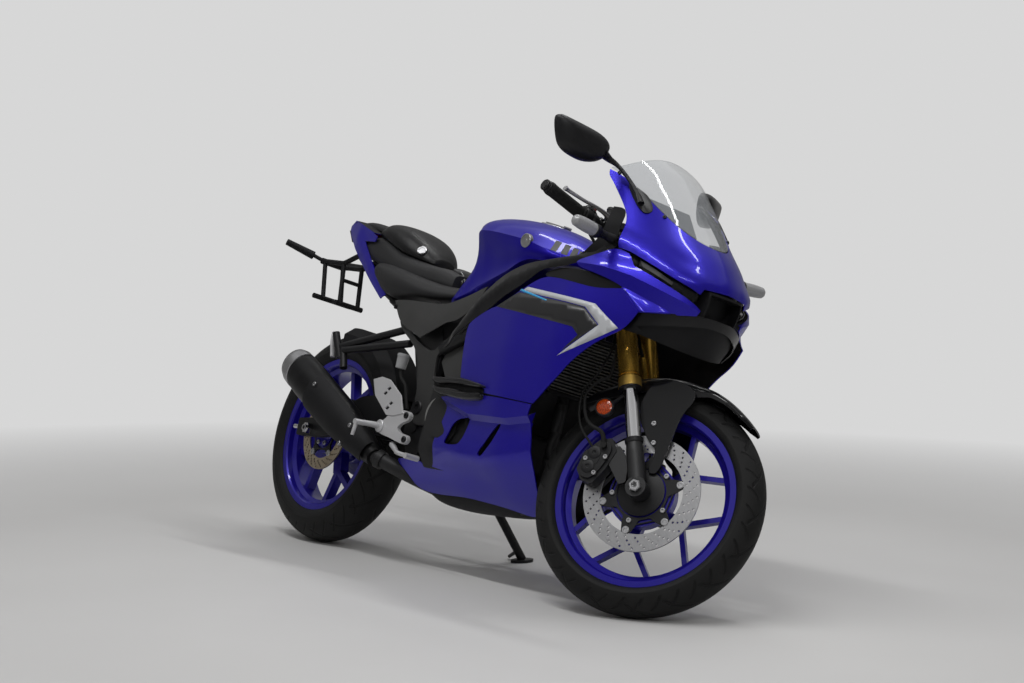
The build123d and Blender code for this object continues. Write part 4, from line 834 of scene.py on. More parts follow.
STRIP_OUT = [(625, 566), (700, 640), (760, 700), (821, 755), (861, 787), (940, 821), (1011, 831), (1100, 842),
             (1188, 853), (1240, 872), (1286, 897, 1), (1270, 866), (1210, 838), (1133, 820), (1084, 815),
             (1043, 806), (984, 768), (906, 734), (851, 696), (737, 641)]
STRIP_FOLD = [(700, 622), (800, 712), (900, 772), (1000, 802), (1100, 828), (1190, 845)]
SCOOP = [(1052, 800), (1084, 813), (1133, 819), (1227, 811), (1290, 806), (1344, 788, 1), (1344, 772, 1),
         (1266, 766), (1189, 778), (1100, 790), (1062, 790)]


def add_strips():
    """Black strips along the top of the side cowls, folded lengthwise, with the recess before them."""
    strip = panel(STRIP_OUT, flank(lambda flat: -6 + 9 * tent(flat, STRIP_FOLD, 34)), ridges=[STRIP_FOLD])
    scoop = panel(SCOOP, flank(-9), spacing=14)
    both = mirrored(joined(strip, scoop))
    show("gloss_strip_panels", both, "gloss_black", **SHELL, replaces=["gloss_strips"])


SCOOP_TOP = [(652, 504), (717, 503), (830, 505), (942, 492), (936, 482), (800, 488), (719, 485), (674, 487)]
SCOOP_FOOT = [(672, 481), (719, 474), (800, 476), (881, 464), (936, 472), (946, 461), (933, 450), (852, 447),
              (740, 455), (682, 463)]
SCOOP_WELL = [(662, 494), (720, 499), (930, 490), (938, 462), (850, 452), (690, 466)]


def add_side_scoops():
    """Two lips that narrow as they come out of the side wall, round a dark well."""
    lips = []
    for edge in (SCOOP_TOP, SCOOP_FOOT):
        outline = curved(edge, 2)
        middle = outline.mean(0)
        rings = [flank(out)(middle + (outline - middle) * (1 - (1 - size) * 0.3, size))
                 for out, size in ((-34, 1.0), (10, 1.0), (15, 0.92), (17, 0.7), (17.5, 0.3))]
        lips.append(skin(rings[::-1]))
    show("side_scoops", mirrored(joined(*lips)), "gloss_black", sharp=40)
    well = panel(SCOOP_WELL, flank(4), spacing=14)
    show("scoop_wells", mirrored(well), "matt_black", wall=3, even=False)


def add_side_covers():
    """Covers under the seat, whose wall leaves the middle evenly as it goes forward."""
    outline = [(285, 719, 1), (330, 722), (460, 716), (560, 712), (600, 716), (700, 742), (765, 766, 1),
               (736, 712), (656, 669), (602, 661, 1), (480, 614, 1), (361, 648), (326, 672)]
    fold = [(400, 690), (500, 650), (600, 686), (740, 734)]

    def surface(flat):
        """128 mm at the rear end, 0.085 mm more for each mm forward, and a ridge along the fold."""
        wave = 128 + (flat[:, 0] - 285) * 0.085 + 7 * tent(flat, fold, 60)
        return np.column_stack([flat[:, 0], -wave, flat[:, 1]])
    cover = panel(outline, surface, ridges=[fold], spacing=13)
    show("side_cover_panels", mirrored(cover), "grey_plastic", **SHELL, replaces=["side_covers"])


# ---- nose, screen and wings --------------------------------------------------------------------------
NOSE_HALF = [(-77, 1093, 1), (-78, 1077), (-72.8, 1055), (-66.4, 1013), (-63, 980), (-63, 955), (-65.3, 928),
             (-68.3, 897), (-68, 878, 1), (-61.6, 872), (-58.4, 866), (-48.2, 845), (-40.3, 829),
             (-33.5, 818), (-26.5, 809), (-20, 799, 1), (-18.5, 814, 1), (-9.4, 816)]
SCREEN_EDGE = [(-77, 1093), (-64.8, 1080), (-51.4, 1047), (-41.7, 1014), (-32.9, 982), (-26.3, 962),
               (-18.8, 945), (-10.3, 934), (0, 929)]


BROW = [(-68, 900), (-58, 884), (-46, 862), (-34, 838), (-20, 822)]


def nose_relief(flat):
    """A raised brow along the lamp edge, and a soft keel down the middle."""
    brow = on_arc(BROW)
    left = across_nose(brow[::-1])
    keel = tent(flat, [(0, 800), (0, 940)], 60)
    return 5 * np.maximum(tent(flat, brow, 40), tent(flat, left, 40)) + 3 * keel


def add_nose():
    """The nose and the screen: right half outlines, closed by their left copies."""
    over = SCREEN_EDGE[1:-1]
    outline = on_arc([*NOSE_HALF, (0, 818), *across_nose(NOSE_HALF), *across_nose(over[::-1]), (0, 929),
                      *over[::-1]])
    brow = on_arc(BROW)
    cowl = panel(outline, nose(nose_relief), ridges=[brow, across_nose(brow[::-1])], spacing=11)
    show("nose_panel", cowl, "blue_paint", **SHELL, replaces=["nose_cowl"])
    foot = [(u, z + 3) for u, z in over]
    rim = [(-75.5, 1098, 1), (-64, 1105), (-54, 1118), (-44, 1130), (-29, 1146), (-14, 1157)]
    glass = on_arc([*rim, (0, 1160), *across_nose(rim), *across_nose(foot[::-1]), (0, 932), *foot[::-1]])
    screen = panel(glass, nose(), spacing=11)
    show("screen_panel", screen, "smoked_screen", wall=3, bevel=0.9, replaces=["windscreen"])


WING = [(-92, 832), (-83, 850), (-76, 866), (-70.5, 875), (-66, 873), (-61.6, 866, 1), (-58.3, 835, 1),
        (-43.2, 808), (-22.8, 774), (-18, 760, 1), (-19.2, 746, 1), (-34.7, 733), (-46, 738), (-54, 752),
        (-60, 774, 1), (-67, 789), (-79.6, 806), (-90, 818)]
WING_FOLD = [(-92, 828), (-84, 826), (-74.6, 823), (-58.8, 809), (-42, 786), (-19, 758)]


def add_wings():
    """The blades under the lamps, with a soft ridge along their fold."""
    fold = on_arc(WING_FOLD)
    wing = panel(on_arc(WING), nose(lambda flat: 13 * tent(flat, fold, 42)), ridges=[fold], spacing=10)
    show("wing_panels", mirrored(wing), "blue_paint", **SHELL, replaces=["fairing_wings"])


def add_bridges():
    """Blue web between the side cowl's front edge and the wing: straight lines from one edge to the other."""
    cowl_edge = dense([(1338, 774), (1345, 775), (1372, 751), (1403, 723)], 12)
    wing_edge = dense(on_arc([(-63, 784), (-56, 775), (-44, 757), (-20, 747)]), 12)
    share = np.linspace(0, 1, 18)
    along = [np.column_stack([np.interp(share, np.linspace(0, 1, len(run)), run[:, k]) for k in (0, 1)])
             for run in (cowl_edge, wing_edge)]
    start, end = flank(lambda flat: cowl_relief(flat) - 1.5)(along[0]), nose(2)(along[1])
    across = np.linspace(0, 1, 8)[:, None, None]
    web = facing_out(skin(start * (1 - across) + end * across, caps=False, closed=False), (1250, 0, 760))
    show("cowl_bridges", mirrored(web), "blue_paint", wall=2)


CHIN_TOP = [(-57, 716, 1), (-50.9, 727), (-34.7, 737), (-19, 748), (-9, 750)]
CHIN_FOOT = [(-57.6, 682, 1), (-50, 694), (-36.9, 705), (-15.8, 722), (-8, 727)]


def add_chin():
    """Black band under the wings, and dark sheets that close the slots and the duct's mouth, painted shade
    where the openings look dark.
    """
    outline = on_arc([*CHIN_TOP, *across_nose(CHIN_TOP), *across_nose(CHIN_FOOT[::-1]), *CHIN_FOOT[::-1]])
    band = panel(outline, nose(3), spacing=12)
    show("chin_band", band, "gloss_black", wall=3, bevel=1)
    # Dark sheets inside the duct's mouth and behind the gaps beside the wings: painted shade, standing in for
    # the shade seen through them.
    mouth = panel(on_arc([(-24, 738), (-24, 826), (24, 826), (24, 738)]), nose(-34), spacing=14, rounds=0)
    gap = panel(on_arc([(-90, 846), (-80, 884), (-70, 900), (-62, 896), (-57, 876), (-57, 832), (-70, 826),
                        (-86, 828)]), nose(-13), spacing=14)
    show("nose_shade_backing", joined(mouth, mirrored(gap)), "matt_black", wall=2, even=False)


def add_lamp_slots():
    """Dark slots behind the nose edge, with two glass bars in each."""
    slot = on_arc([(-60.5, 884, 1), (-59, 834, 1), (-43.1, 804), (-21, 770, 1), (-17, 826, 1), (-38, 862),
                   (-48.2, 880)])
    well = panel(slot, nose(-16), spacing=12, rounds=0)
    rim = panel(on_arc([(-59.4, 838, 1), (-43.1, 810, 1), (-21, 776, 1), (-21, 768, 1), (-43.1, 801, 1),
                        (-59.8, 828, 1)]), nose(-5), spacing=12, rounds=0)
    show("lamp_wells", mirrored(joined(well, rim)), "gloss_black", wall=2)
    bars = [panel(on_arc(outline), nose(-10), spacing=12, rounds=0)
            for outline in ([(-56.3, 858), (-36.4, 814), (-37, 807), (-54.3, 838)],
                            [(-43.2, 810), (-24.1, 783), (-24.7, 775), (-42.6, 799)])]
    show("lamp_bars", mirrored(joined(*bars)), "headlamp_glass", wall=3, bevel=0.6, replaces=["headlamps"])


# ---- tank, seats and tail ----------------------------------------------------------------------------
def cut_corners(rings, sharp=(), rounds=2):
    """Closed rings with their corners cut, all but those at the sharp places."""
    mask = np.zeros(rings.shape[1], bool)
    mask[list(sharp)] = True
    for _ in range(rounds):
        after = np.roll(rings, -1, 1)
        first = np.where(mask[None, :, None], rings, rings + (after - rings) * 0.25)
        rings = np.stack([first, rings + (after - rings) * 0.75], 2).reshape(len(rings), -1, 3)
        mask = np.stack([mask, np.zeros_like(mask)], 1).ravel()
    return rings


def loft(stations, steps=5, rounds=2, sharp=(), warp=None):
    """Half sections (y, z) at rising x, carried on smooth curves from one to the next, with their corners
    cut, and closed by their own mirror image."""
    half = np.array([[(x, y, z) for y, z in section] for x, section in stations], float)
    half = smooth_line(half.reshape(len(half), -1), steps).reshape(-1, half.shape[1], 3)
    if warp is not None:
        half = warp(half)
    count = half.shape[1]
    rings = np.concatenate([half[:, ::-1], half[:, 1:-1] * (1, -1, 1)], 1)
    marks = [count - 1 - k for k in sharp] + [count - 1 + k for k in sharp if 0 < k < count - 1]
    return skin(cut_corners(rings, marks, rounds))


TANK = (
    (500, ((0, 948), (38, 946), (70, 934), (86, 902), (92, 842), (98, 772), (100, 722), (0, 722))),
    (540, ((0, 972), (46, 969), (92, 950), (108, 908), (104, 842), (108, 772), (112, 724), (0, 724))),
    (600, ((0, 989), (54, 986), (112, 962), (136, 926), (114, 864), (110, 796), (120, 738), (0, 738))),
    (680, ((0, 991), (60, 988), (126, 960), (154, 926), (126, 872), (116, 815), (130, 768), (0, 768))),
    (780, ((0, 982), (62, 979), (132, 950), (161, 914), (148, 874), (134, 836), (142, 805), (0, 805))),
    (870, ((0, 966), (58, 961), (122, 934), (161, 900), (160, 876), (150, 858), (148, 845), (0, 845))),
    (950, ((0, 938), (46, 932), (86, 908), (132, 880), (136, 868), (130, 858), (126, 850), (0, 850))),
    (1000, ((0, 908), (34, 903), (62, 884), (84, 868), (84, 862), (82, 858), (80, 854), (0, 854))),
)
KNEE = ((717, 0), (746, 17), (800, 64), (844, 84), (890, 76), (938, 50), (975, 10))  # height, cut


def tank_warp(half):
    """The tank with its rear pushed forward by height, for the knees, fading out by x 650."""
    height, cut = np.array(KNEE, float).T
    half = half.copy()
    half[..., 0] += np.interp(half[..., 2], height, cut) * np.clip((650 - half[..., 0]) / 150, 0, 1)
    return half


TANK_SLOTS = (
    [(920, 917), (934, 914), (956, 881), (943, 883)], [(943, 912), (956, 909), (978, 877), (966, 879)],
    [(963, 907), (975, 904), (993, 875), (982, 876)], [(979, 901), (989, 898), (1004, 874), (995, 875)],
)


CAP_AXIS = (0.15, 0, 0.9887)


def laid_on(shape, places):
    """Points and outward directions where lines across the bike at (x, z) first meet a shape's right side."""
    tree = BVHTree.FromPolygons(shape[0].tolist(), shape[1])
    cast = [tree.ray_cast(Vector((x, -400, z)), Vector((0, 1, 0))) for x, z in places]
    hits = [hit if hit[0] else tree.find_nearest(Vector((x, -110, z))) for hit, (x, z) in zip(cast, places)]
    spots = np.array([tuple(hit[0]) for hit in hits])
    normals = np.array([tuple(hit[1]) for hit in hits])
    return spots, normals * -np.sign(normals[:, 1:2])


def add_tank():
    """The tank, its filler collar with screws, a plain badge and a row of slots on each side."""
    body = loft(TANK, steps=7, rounds=2, sharp=(3,), warp=tank_warp)
    collar = lathe([(-14, 47), (2, 47), (4, 45), (4, 38), (-14, 38)], (780, 0, 978), CAP_AXIS, 40,
                   level=(0, 1, 0))
    # The tank wears the darker copy of the blue paint, which is painted shade.
    show("tank_shell", body, "shaded_tank_paint", sharp=38, replaces=["fuel_tank"])
    show("tank_collar", collar, "cast_alloy", slot="cap")
    angle = (np.arange(6) * math.pi / 3 + 0.4)[:, None]
    spokes = np.hstack([np.cos(angle) * CAP_AXIS[2], np.sin(angle), -np.cos(angle) * CAP_AXIS[0]])
    show("collar_screws", bolts(np.array((774, 0, 979.5)) + 42.5 * spokes, CAP_AXIS, 3.4, 3.0),
         "brushed_steel")
    (centre,), (normal,) = laid_on(body, [(868, 899)])
    badge = lathe([(-8, 19), (1.5, 19), (3, 17.5), (3, 15), (2, 14.5), (2, 5), (3, 4)], centre, normal, 36)
    show("tank_discs", mirrored(badge), "brushed_steel", slot="cap")
    slots = []
    for outline in TANK_SLOTS:
        spots, normals = laid_on(body, dense(outline, 6, True))
        slots.append(facing_out(skin([spots - normals * 4, spots + normals * 0.5]),
                                spots.mean(0) - normals[0] * 2))
    show("tank_slots", mirrored(joined(*slots)), "muffler_black", slot="black_matt")


SEAT = (
    (96, ((0, 838), (60, 838), (86, 832), (98, 824), (102, 812), (84, 800), (0, 800))),
    (130, ((0, 846), (64, 845), (100, 836), (116, 820), (116, 794), (98, 776), (0, 776))),
    (220, ((0, 834), (72, 832), (116, 820), (132, 796), (132, 758), (116, 732), (0, 732))),
    (350, ((0, 806), (74, 803), (118, 790), (133, 766), (130, 744), (112, 734), (0, 734))),
    (450, ((0, 788), (62, 785), (96, 774), (110, 756), (108, 740), (92, 732), (0, 732))),
    (530, ((0, 786), (44, 783), (66, 774), (76, 762), (76, 752), (62, 748), (0, 748))),
    (548, ((0, 780), (34, 778), (50, 772), (56, 764), (54, 757), (44, 754), (0, 754))),
)
SEAT_BASE = (
    (0, ((0, 928), (40, 927), (76, 916), (86, 892), (88, 852), (0, 852))),
    (90, ((0, 924), (60, 921), (86, 908), (96, 880), (99, 828), (0, 828))),
    (200, ((0, 880), (60, 878), (92, 866), (103, 846), (106, 800), (0, 800))),
    (300, ((0, 850), (60, 848), (90, 841), (100, 826), (103, 780), (0, 780))),
    (400, ((0, 838), (50, 836), (74, 830), (84, 816), (88, 772), (0, 772))),
    (456, ((0, 822), (40, 821), (58, 816), (64, 806), (68, 768), (0, 768))),
)
PILLION = (
    (14, ((0, 944), (28, 943), (44, 940), (52, 936), (50, 932), (0, 932))),
    (40, ((0, 958), (40, 956), (62, 947), (74, 933), (70, 921), (0, 921))),
    (90, ((0, 968), (52, 965), (80, 954), (93, 930), (89, 908), (0, 908))),
    (140, ((0, 964), (56, 960), (86, 946), (98, 918), (94, 890), (0, 890))),
    (200, ((0, 946), (54, 942), (82, 926), (95, 896), (91, 868), (0, 868))),
    (250, ((0, 921), (44, 917), (68, 903), (80, 876), (76, 855), (0, 855))),
    (285, ((0, 894), (30, 891), (48, 881), (58, 862), (54, 850), (0, 850))),
    (302, ((0, 872), (16, 871), (30, 866), (38, 856), (36, 849), (0, 849))),
)


def add_seats():
    """Both pads, the base between them, the lock and the step behind the rider."""
    rider = show("rider_seat_pad", loft(SEAT, 8, 2), "seat_vinyl", sharp=60, replaces=["rider_seat"])
    pillion = show("pillion_seat_pad", loft(PILLION, 8, 2), "pillion_vinyl", slot="seat", sharp=60,
                   replaces=["pillion_seat"])
    show("seat_base_shell", loft(SEAT_BASE, 8, 2), "seat_vinyl", slot="seat", sharp=60,
         replaces=["seat_base"])
    lock = lathe([(-4, 15), (3, 15), (4.5, 13), (4.5, 9), (3, 8), (3, 2)], (266, -67, 884),
                 (0.42, -0.78, 0.46), 28)
    show("seat_lock", lock, "brushed_steel", slot="cap")
    block = loft(((408, ((0, 848), (30, 846), (44, 838), (46, 800), (0, 800))),
                  (440, ((0, 838), (30, 836), (44, 826), (46, 796), (0, 796))),
                  (462, ((0, 812), (26, 810), (38, 804), (40, 792), (0, 792)))), 4, 1)
    show("seat_step", block, "gloss_black")


TAIL = [(-143, 954, 1), (-106, 969, 1), (-50, 954), (64, 914, 1), (58, 898, 1), (-4, 901, 1), (20, 878),
        (84, 827), (208, 737, 1), (182, 724, 1), (100, 772), (27, 820), (-36, 861), (-92, 900),
        (-138, 934, 1)]
TAIL_FOLD = [(-130, 940), (-60, 912), (10, 856), (100, 795), (195, 731)]


def tail_side(flat):
    """Tail wall: y leaves the middle as x goes forward, with a fold along its length."""
    out = np.interp(flat[:, 0], [-143, -60, 60, 224], [62, 84, 98, 112])
    return np.column_stack([flat[:, 0], -out - 5 * tent(flat, TAIL_FOLD, 36), flat[:, 1]])


def add_tail():
    """Tail walls, the arched top between them, the grab pad on it and the lamp."""
    side = panel(TAIL, tail_side, ridges=[TAIL_FOLD], spacing=11)
    across = np.linspace(-1, 1, 17)[:, None]
    x = np.array([-143, -128, -104, -66, -20, 30])
    z = np.array([953, 963, 970, 961, 946, 930])
    half = np.array([61, 67, 76, 84, 88, 90])
    top = np.stack([x + 0 * across, half * across, z - 5 * across**2], -1)
    grab = loft(((-126, ((0, 976), (26, 975), (40, 970), (42, 962), (0, 960))),
                 (-60, ((0, 976), (32, 975), (48, 968), (50, 952), (0, 950))),
                 (22, ((0, 962), (34, 960), (50, 952), (52, 936), (0, 934)))), 4, 1)
    show("tail_grab", grab, "satin_black")
    spoiler = skin(top, caps=False, closed=False)
    walls = joined(mirrored(side), turned_over(spoiler))
    show("tail_panels", walls, "blue_paint", **SHELL, replaces=["tail_cowl"])
    inner = plate([(-8, 906), (60, 906), (130, 884), (152, 824), (206, 748), (172, 738), (84, 826),
                   (14, 882)], 4, upright(86), rounds=0)
    show("tail_walls", mirrored(inner), "matt_black")
    lamp = loft(((-139, ((0, 946), (46, 944), (60, 936), (54, 926), (0, 924))),
                 (-128, ((0, 950), (52, 948), (66, 936), (58, 918), (0, 914))),
                 (-104, ((0, 952), (58, 950), (72, 936), (62, 908), (0, 902)))), 3, 1)
    show("tail_lamp", lamp, "red_lens", slot="tail_lamp")


# ---- wheels ------------------------------------------------------------------------------------------
def beside(axle, y):
    """A flat disc's places round a wheel axle, at an offset across; depth goes toward the bike's left."""
    def surface(flat, depth):
        """Places and a depth to points."""
        return np.column_stack([axle[0] + flat[:, 0], np.full(len(flat), y + depth), axle[2] + flat[:, 1]])
    return surface


def round_axle(axle, y, radius, angles):
    """Places on a circle round a wheel axle."""
    return [(axle[0] + radius * math.cos(a), y, axle[2] + radius * math.sin(a)) for a in angles]


def brake_disc(axle, y, outer, inner, arm_r, arms, first, hub_r, groups):
    """A drilled band, a carrier with arms, and the buttons that join them."""
    holes = [ring_of(inner, 72)]
    for k in range(groups):
        for row, radius in enumerate(np.linspace(inner + 9, outer - 8, 4)):
            angle = (k + row * 0.28) * 2 * math.pi / groups
            holes.append(ring_of(2.9, 8, (radius * math.cos(angle), radius * math.sin(angle))))
    band = plate(ring_of(outer, 96), 4.5, beside(axle, y - 2.25), holes)
    turn = np.radians(first) + np.arange(arms)[:, None] * 2 * math.pi / arms
    spread = np.array([-0.24, -0.09, 0.09, 0.24])
    reach = np.array([arm_r - 17, arm_r + 8, arm_r + 8, arm_r - 17])
    star = np.stack([reach * np.cos(turn + spread), reach * np.sin(turn + spread)], -1).reshape(-1, 2)
    windows = [ring_of(hub_r + 5, 36)]
    for angle in turn[:, 0]:
        low, high = hub_r + 12, arm_r - 20
        if high - low > 8:
            spots = [(low, -0.2), (low, 0.2), (high, 0.28), (high, -0.28)]
            turned = angle + math.pi / arms
            windows.append(np.array([(r * math.cos(turned + a), r * math.sin(turned + a)) for r, a in spots]))
    carrier = plate(star, 5, beside(axle, y - 2.5), windows)
    buttons = joined(*(lathe([(-6, 9.5), (1.5, 9.5), (2.6, 8), (2.6, 5), (1.2, 4)], place, RIGHTWARD, 16)
                       for place in round_axle(axle, y - 2.2, arm_r, turn[:, 0])))
    return band, carrier, buttons


def add_discs():
    """Both wheels' discs, with the bolts that hold them; each row of sizes is in brake_disc's order."""
    for name, body, axle, sizes, look, bolt_y, bolt_r, angles in (
        ("front", "front_wheel", FRONT_AXLE, (-66, 149, 105, 98.6, 6, 27, 58, 28), "brushed_steel", -68.6, 74,
         np.radians(50 + 72 * np.arange(5))),
        ("rear", "rear_wheel", REAR_AXLE, (-62, 110, 76, 72, 5, 20, 42, 24), "tan_steel", -66.5, 34,
         np.arange(6) * math.pi / 3),
    ):
        band, carrier, buttons = brake_disc(axle, *sizes)
        heads = bolts(round_axle(axle, bolt_y, bolt_r, angles), RIGHTWARD, 6.5, 4.5)
        show(f"{name}_disc_band", band, look, body, slot="disc", replaces=[f"{name}_disc"])
        show(f"{name}_disc_carrier", carrier, "satin_black", body, slot="caliper")
        show(f"{name}_disc_buttons", buttons, "cast_alloy", body, slot="disc")
        show(f"{name}_disc_bolts", heads, "cast_alloy", body, slot="disc")


# ---- exhaust -----------------------------------------------------------------------------------------
MUFFLER_FRONT, MUFFLER_REAR = np.array([430, -160, 262.0]), np.array([-95, -190, 508.0])
MUFFLER_LENGTH = np.linalg.norm(MUFFLER_REAR - MUFFLER_FRONT)
MUFFLER_RUN = (MUFFLER_REAR - MUFFLER_FRONT) / MUFFLER_LENGTH
MUFFLER_OVER = np.cross(MUFFLER_RUN, ACROSS)
MUFFLER_OVER = MUFFLER_OVER / np.linalg.norm(MUFFLER_OVER)


def ovals(stations, angles=None, lift=0.0):
    """Ovals square to the muffler's line, from (reach, half width, half height)."""
    reach, wide, high = np.array(stations, float).T
    full = angles is None
    angles = np.linspace(0, 2 * math.pi, 44, endpoint=False) if full else angles
    rings = (MUFFLER_FRONT + reach[:, None, None] * MUFFLER_RUN
             + (wide + lift)[:, None, None] * np.cos(angles)[:, None] * ACROSS
             - (high + lift)[:, None, None] * np.sin(angles)[:, None] * MUFFLER_OVER)
    return rings


MUFFLER_FIT = 0.92
SHIELD = [(20, 38, 40), (70, 44, 47), (100, 49, 53), (200, 56, 66), (330, 58, 69), (360, 57, 67)]


def add_muffler():
    """Ovals that swell along the line of the muffler, a rolled tip, and a shield over part of them."""
    length = MUFFLER_LENGTH - 30
    body = [(0, 28, 28), (40, 36, 38), (90, 44, 48), (200, 51, 61), (430, 54, 65), (length - 60, 50, 62),
            (length - 52, 47, 58), (length - 40, 47, 58)]
    reach, wide, high = np.array(body, float).T
    fine = np.linspace(0, length - 40, 40)
    body = np.column_stack([fine, np.interp(fine, reach, wide), np.interp(fine, reach, high)])
    tip = [(length - 58, 46, 57), (length - 56, 51.5, 63), (length - 30, 50.5, 61.5), (length - 12, 46, 55),
           (length - 2, 38, 44), (length + 2, 29, 31), (length + 1, 24, 25), (length - 6, 22, 22.5),
           (length - 60, 21, 21)]
    body[:, 1:] *= MUFFLER_FIT
    tip, shield = (np.array(run) * (1, MUFFLER_FIT, MUFFLER_FIT) for run in (tip, SHIELD))
    show("muffler_body", skin(ovals(body)[:, ::-1]), "muffler_black", slot="muffler", replaces=["muffler"])
    show("muffler_tip", skin(ovals(tip)[:, ::-1]), "brushed_steel", slot="exhaust", sharp=50)
    span = np.linspace(math.radians(118), math.radians(232), 22)
    rings = ovals(shield, span, 3.0)
    show("muffler_shield", skin(rings[:, ::-1], caps=False, closed=False), "matt_black", wall=3, bevel=0.8)
    outward = (0.05, -0.98, 0.1)
    spots = [ovals([(r, 52, 58)], np.array([math.radians(a)]), 8.0)[0, 0]
             for r, a in ((100, 150), (100, 205), (335, 150))]
    show("shield_bolts", bolts(spots, outward, 6.5, 4), "brushed_steel", slot="exhaust")


# ---- front fork, fender and brake --------------------------------------------------------------------
def on_leg(side, reach, fore=0.0, out=0.0):
    """A point by a fork leg: along it, ahead of it and outward from it."""
    return FRONT_AXLE + UP * reach + FORE * fore + ACROSS * side * (FORK_HALF + out)


FENDER_RUN = ((50, 56, 66, 74, 81, 100, 125, 134, 142), (34, 52, 62, 64, 64, 64, 64, 62, 54),
              (307, 301, 297, 291, 273, 268, 270, 284, 300))
FENDER_STAY = [(1296, 520), (1310, 470), (1330, 448), (1356, 418), (1384, 404), (1376, 350), (1390, 341),
               (1406, 350), (1410, 396), (1411, 436), (1412, 506), (1434, 552), (1420, 580), (1372, 592),
               (1318, 584)]


def add_fender():
    """Cross sections round the front axle; the angle sets their half width and how deep the sides hang."""
    angle = np.radians(np.linspace(50, 142, 60))[:, None]
    wide, edge = (np.interp(np.degrees(angle), FENDER_RUN[0], row) for row in FENDER_RUN[1:])
    share = np.array([1, 1, 1, 0.97, 0.88, 0.72, 0.5, 0.25, 0])
    crown = np.array([0, 0.25, 0.45, 0.62, 0.76, 0.86, 0.93, 0.98, 1])
    share = np.concatenate([share, -share[-2::-1]])
    radius = edge + (318 - edge) * np.concatenate([crown, crown[-2::-1]])
    rings = np.stack([FRONT_AXLE[0] + radius * np.cos(angle), wide * share + 0 * radius,
                      FRONT_AXLE[2] + radius * np.sin(angle)], -1)
    shell = facing_out(skin(rings, caps=False, closed=False), FRONT_AXLE)
    show("fender_shell", shell, "gloss_black", "steering", wall=3, bevel=1, replaces=["front_fender"])
    stay = plate(FENDER_STAY, 4, upright(80), rounds=2)
    show("fender_stays", mirrored(stay), "gloss_black", "steering", bevel=1)
    places = [(1352, -80, 468), (1369, -80, 420)]
    show("fender_bolts", mirrored(bolts(places, RIGHTWARD, 6.5, 4)), "cast_alloy", "steering")


def add_caliper():
    """The hub cap, and the caliper as a ribbed plate with two domes."""
    cap = lathe([(3.4, 60), (4.6, 60), (6, 57), (6.6, 30), (7, 26), (7, 17), (3.4, 17)],
                FRONT_AXLE - ACROSS * 67, RIGHTWARD, 40)
    show("front_hub_cap", cap, "satin_black", "front_wheel", slot="caliper")
    domes = [lathe([(-4, 18), (4, 18), (7, 16), (8, 12), (8, 5), (6, 4)], place, RIGHTWARD, 24)
             for place in ((1244, -106, 350), (1240, -106, 312))]
    ribs = plate([(1222, 292), (1224, 344), (1250, 378), (1272, 386), (1286, 370), (1276, 322), (1258, 284),
                  (1236, 282)], 10, upright(111), rounds=2)
    show("caliper_face", joined(ribs, *domes), "satin_black", "steering", slot="caliper", bevel=1.5)
    places = [(1264, -111, 372), (1228, -111, 330), (1262, -111, 300), (1276, -111, 346)]
    show("caliper_bolts", bolts(places, RIGHTWARD, 6, 5), "brushed_steel", "steering", slot="caliper")


def add_brake_line():
    """A hose that ends in an eye on the caliper, and the thinner line of the wheel's sensor."""
    hose = tube([(1262, -110, 372), (1246, -116, 402), (1215, -118, 412), (1194, -118, 427),
                 (1176, -116, 458), (1168, -114, 491), (1185, -110, 530), (1207, -104, 552), (1196, -96, 614),
                 (1184, -70, 680)], [7, 5, 4.2, 4.2, 4.2, 4.2], 10)
    eye = lathe([(-9, 8), (9, 8)], (1262, -112, 372), RIGHTWARD, 16)
    sensor = tube([(1262, -108, 340), (1222, -112, 372), (1186, -112, 404), (1164, -110, 446),
                   (1156, -108, 500), (1176, -104, 560), (1180, -90, 640)], 3, 8)
    show("brake_line", joined(hose, eye, sensor), "rubber", "steering", slot="caliper")


def add_reflectors():
    """A round lens in a bezel beside each fork leg, on a flat arm."""
    for side, name in ((RIGHT, "right"), (LEFT, "left")):
        centre = on_leg(side, 226, -62, 8) + (-3, 0, -3)
        bezel = lathe([(-8, 10), (-6, 24), (5, 24.5), (7, 23), (7, 21), (4, 20)], centre, (0, side, 0), 36)
        arm = tube([centre - (0, side * 6, 0), on_leg(side, 244, -30, 0), on_leg(side, 256, -12, -4)],
                   [9, 9, 12], 10, flat=0.5)
        show(f"{name}_reflector_frame", joined(bezel, arm), "satin_black", "steering",
             replaces=["fork_reflectors"] if side == RIGHT else ())
        lens = lathe([(3, 20.5), (6, 20), (7.5, 17), (8, 4)], centre, (0, side, 0), 36)
        show(f"{name}_reflector_lens", lens, "amber_lens", "steering", slot="amber")


def add_fork_trim():
    """Seals and rims on both legs, rings over the seals, and the axle's nut."""
    def on_both(profile, reach, sides=40):
        """A turned ring on each leg, at a reach along it."""
        return [lathe(profile, on_leg(side, reach), UP, sides) for side in (RIGHT, LEFT)]
    seals = on_both([(0, 19), (0, 27.6), (4, 28.4), (16, 28.4), (18, 27), (20, 26)], 264)
    feet = on_both([(-4, 19), (0, 23), (10, 23.5), (12, 20)], 120, 32)
    ring = [(0, 26.1), (0, 27.4), (5, 27.4), (5, 26.1)]
    lower, upper = (on_both(ring, reach) for reach in (292, 300))
    show("fork_seals", joined(*seals, *feet), "satin_black", "steering")
    show("fork_rings", joined(lower[0], upper[0], lower[1], upper[1]), "gold", "steering", slot="fork_gold")
    nut = lathe([(-4, 15.5), (2, 15.5), (5, 13), (5, 8.5), (-2, 8.5), (-4, 7)],
                FRONT_AXLE - ACROSS * 126, RIGHTWARD, 6)
    show("axle_nut_front", nut, "cast_alloy", "steering")


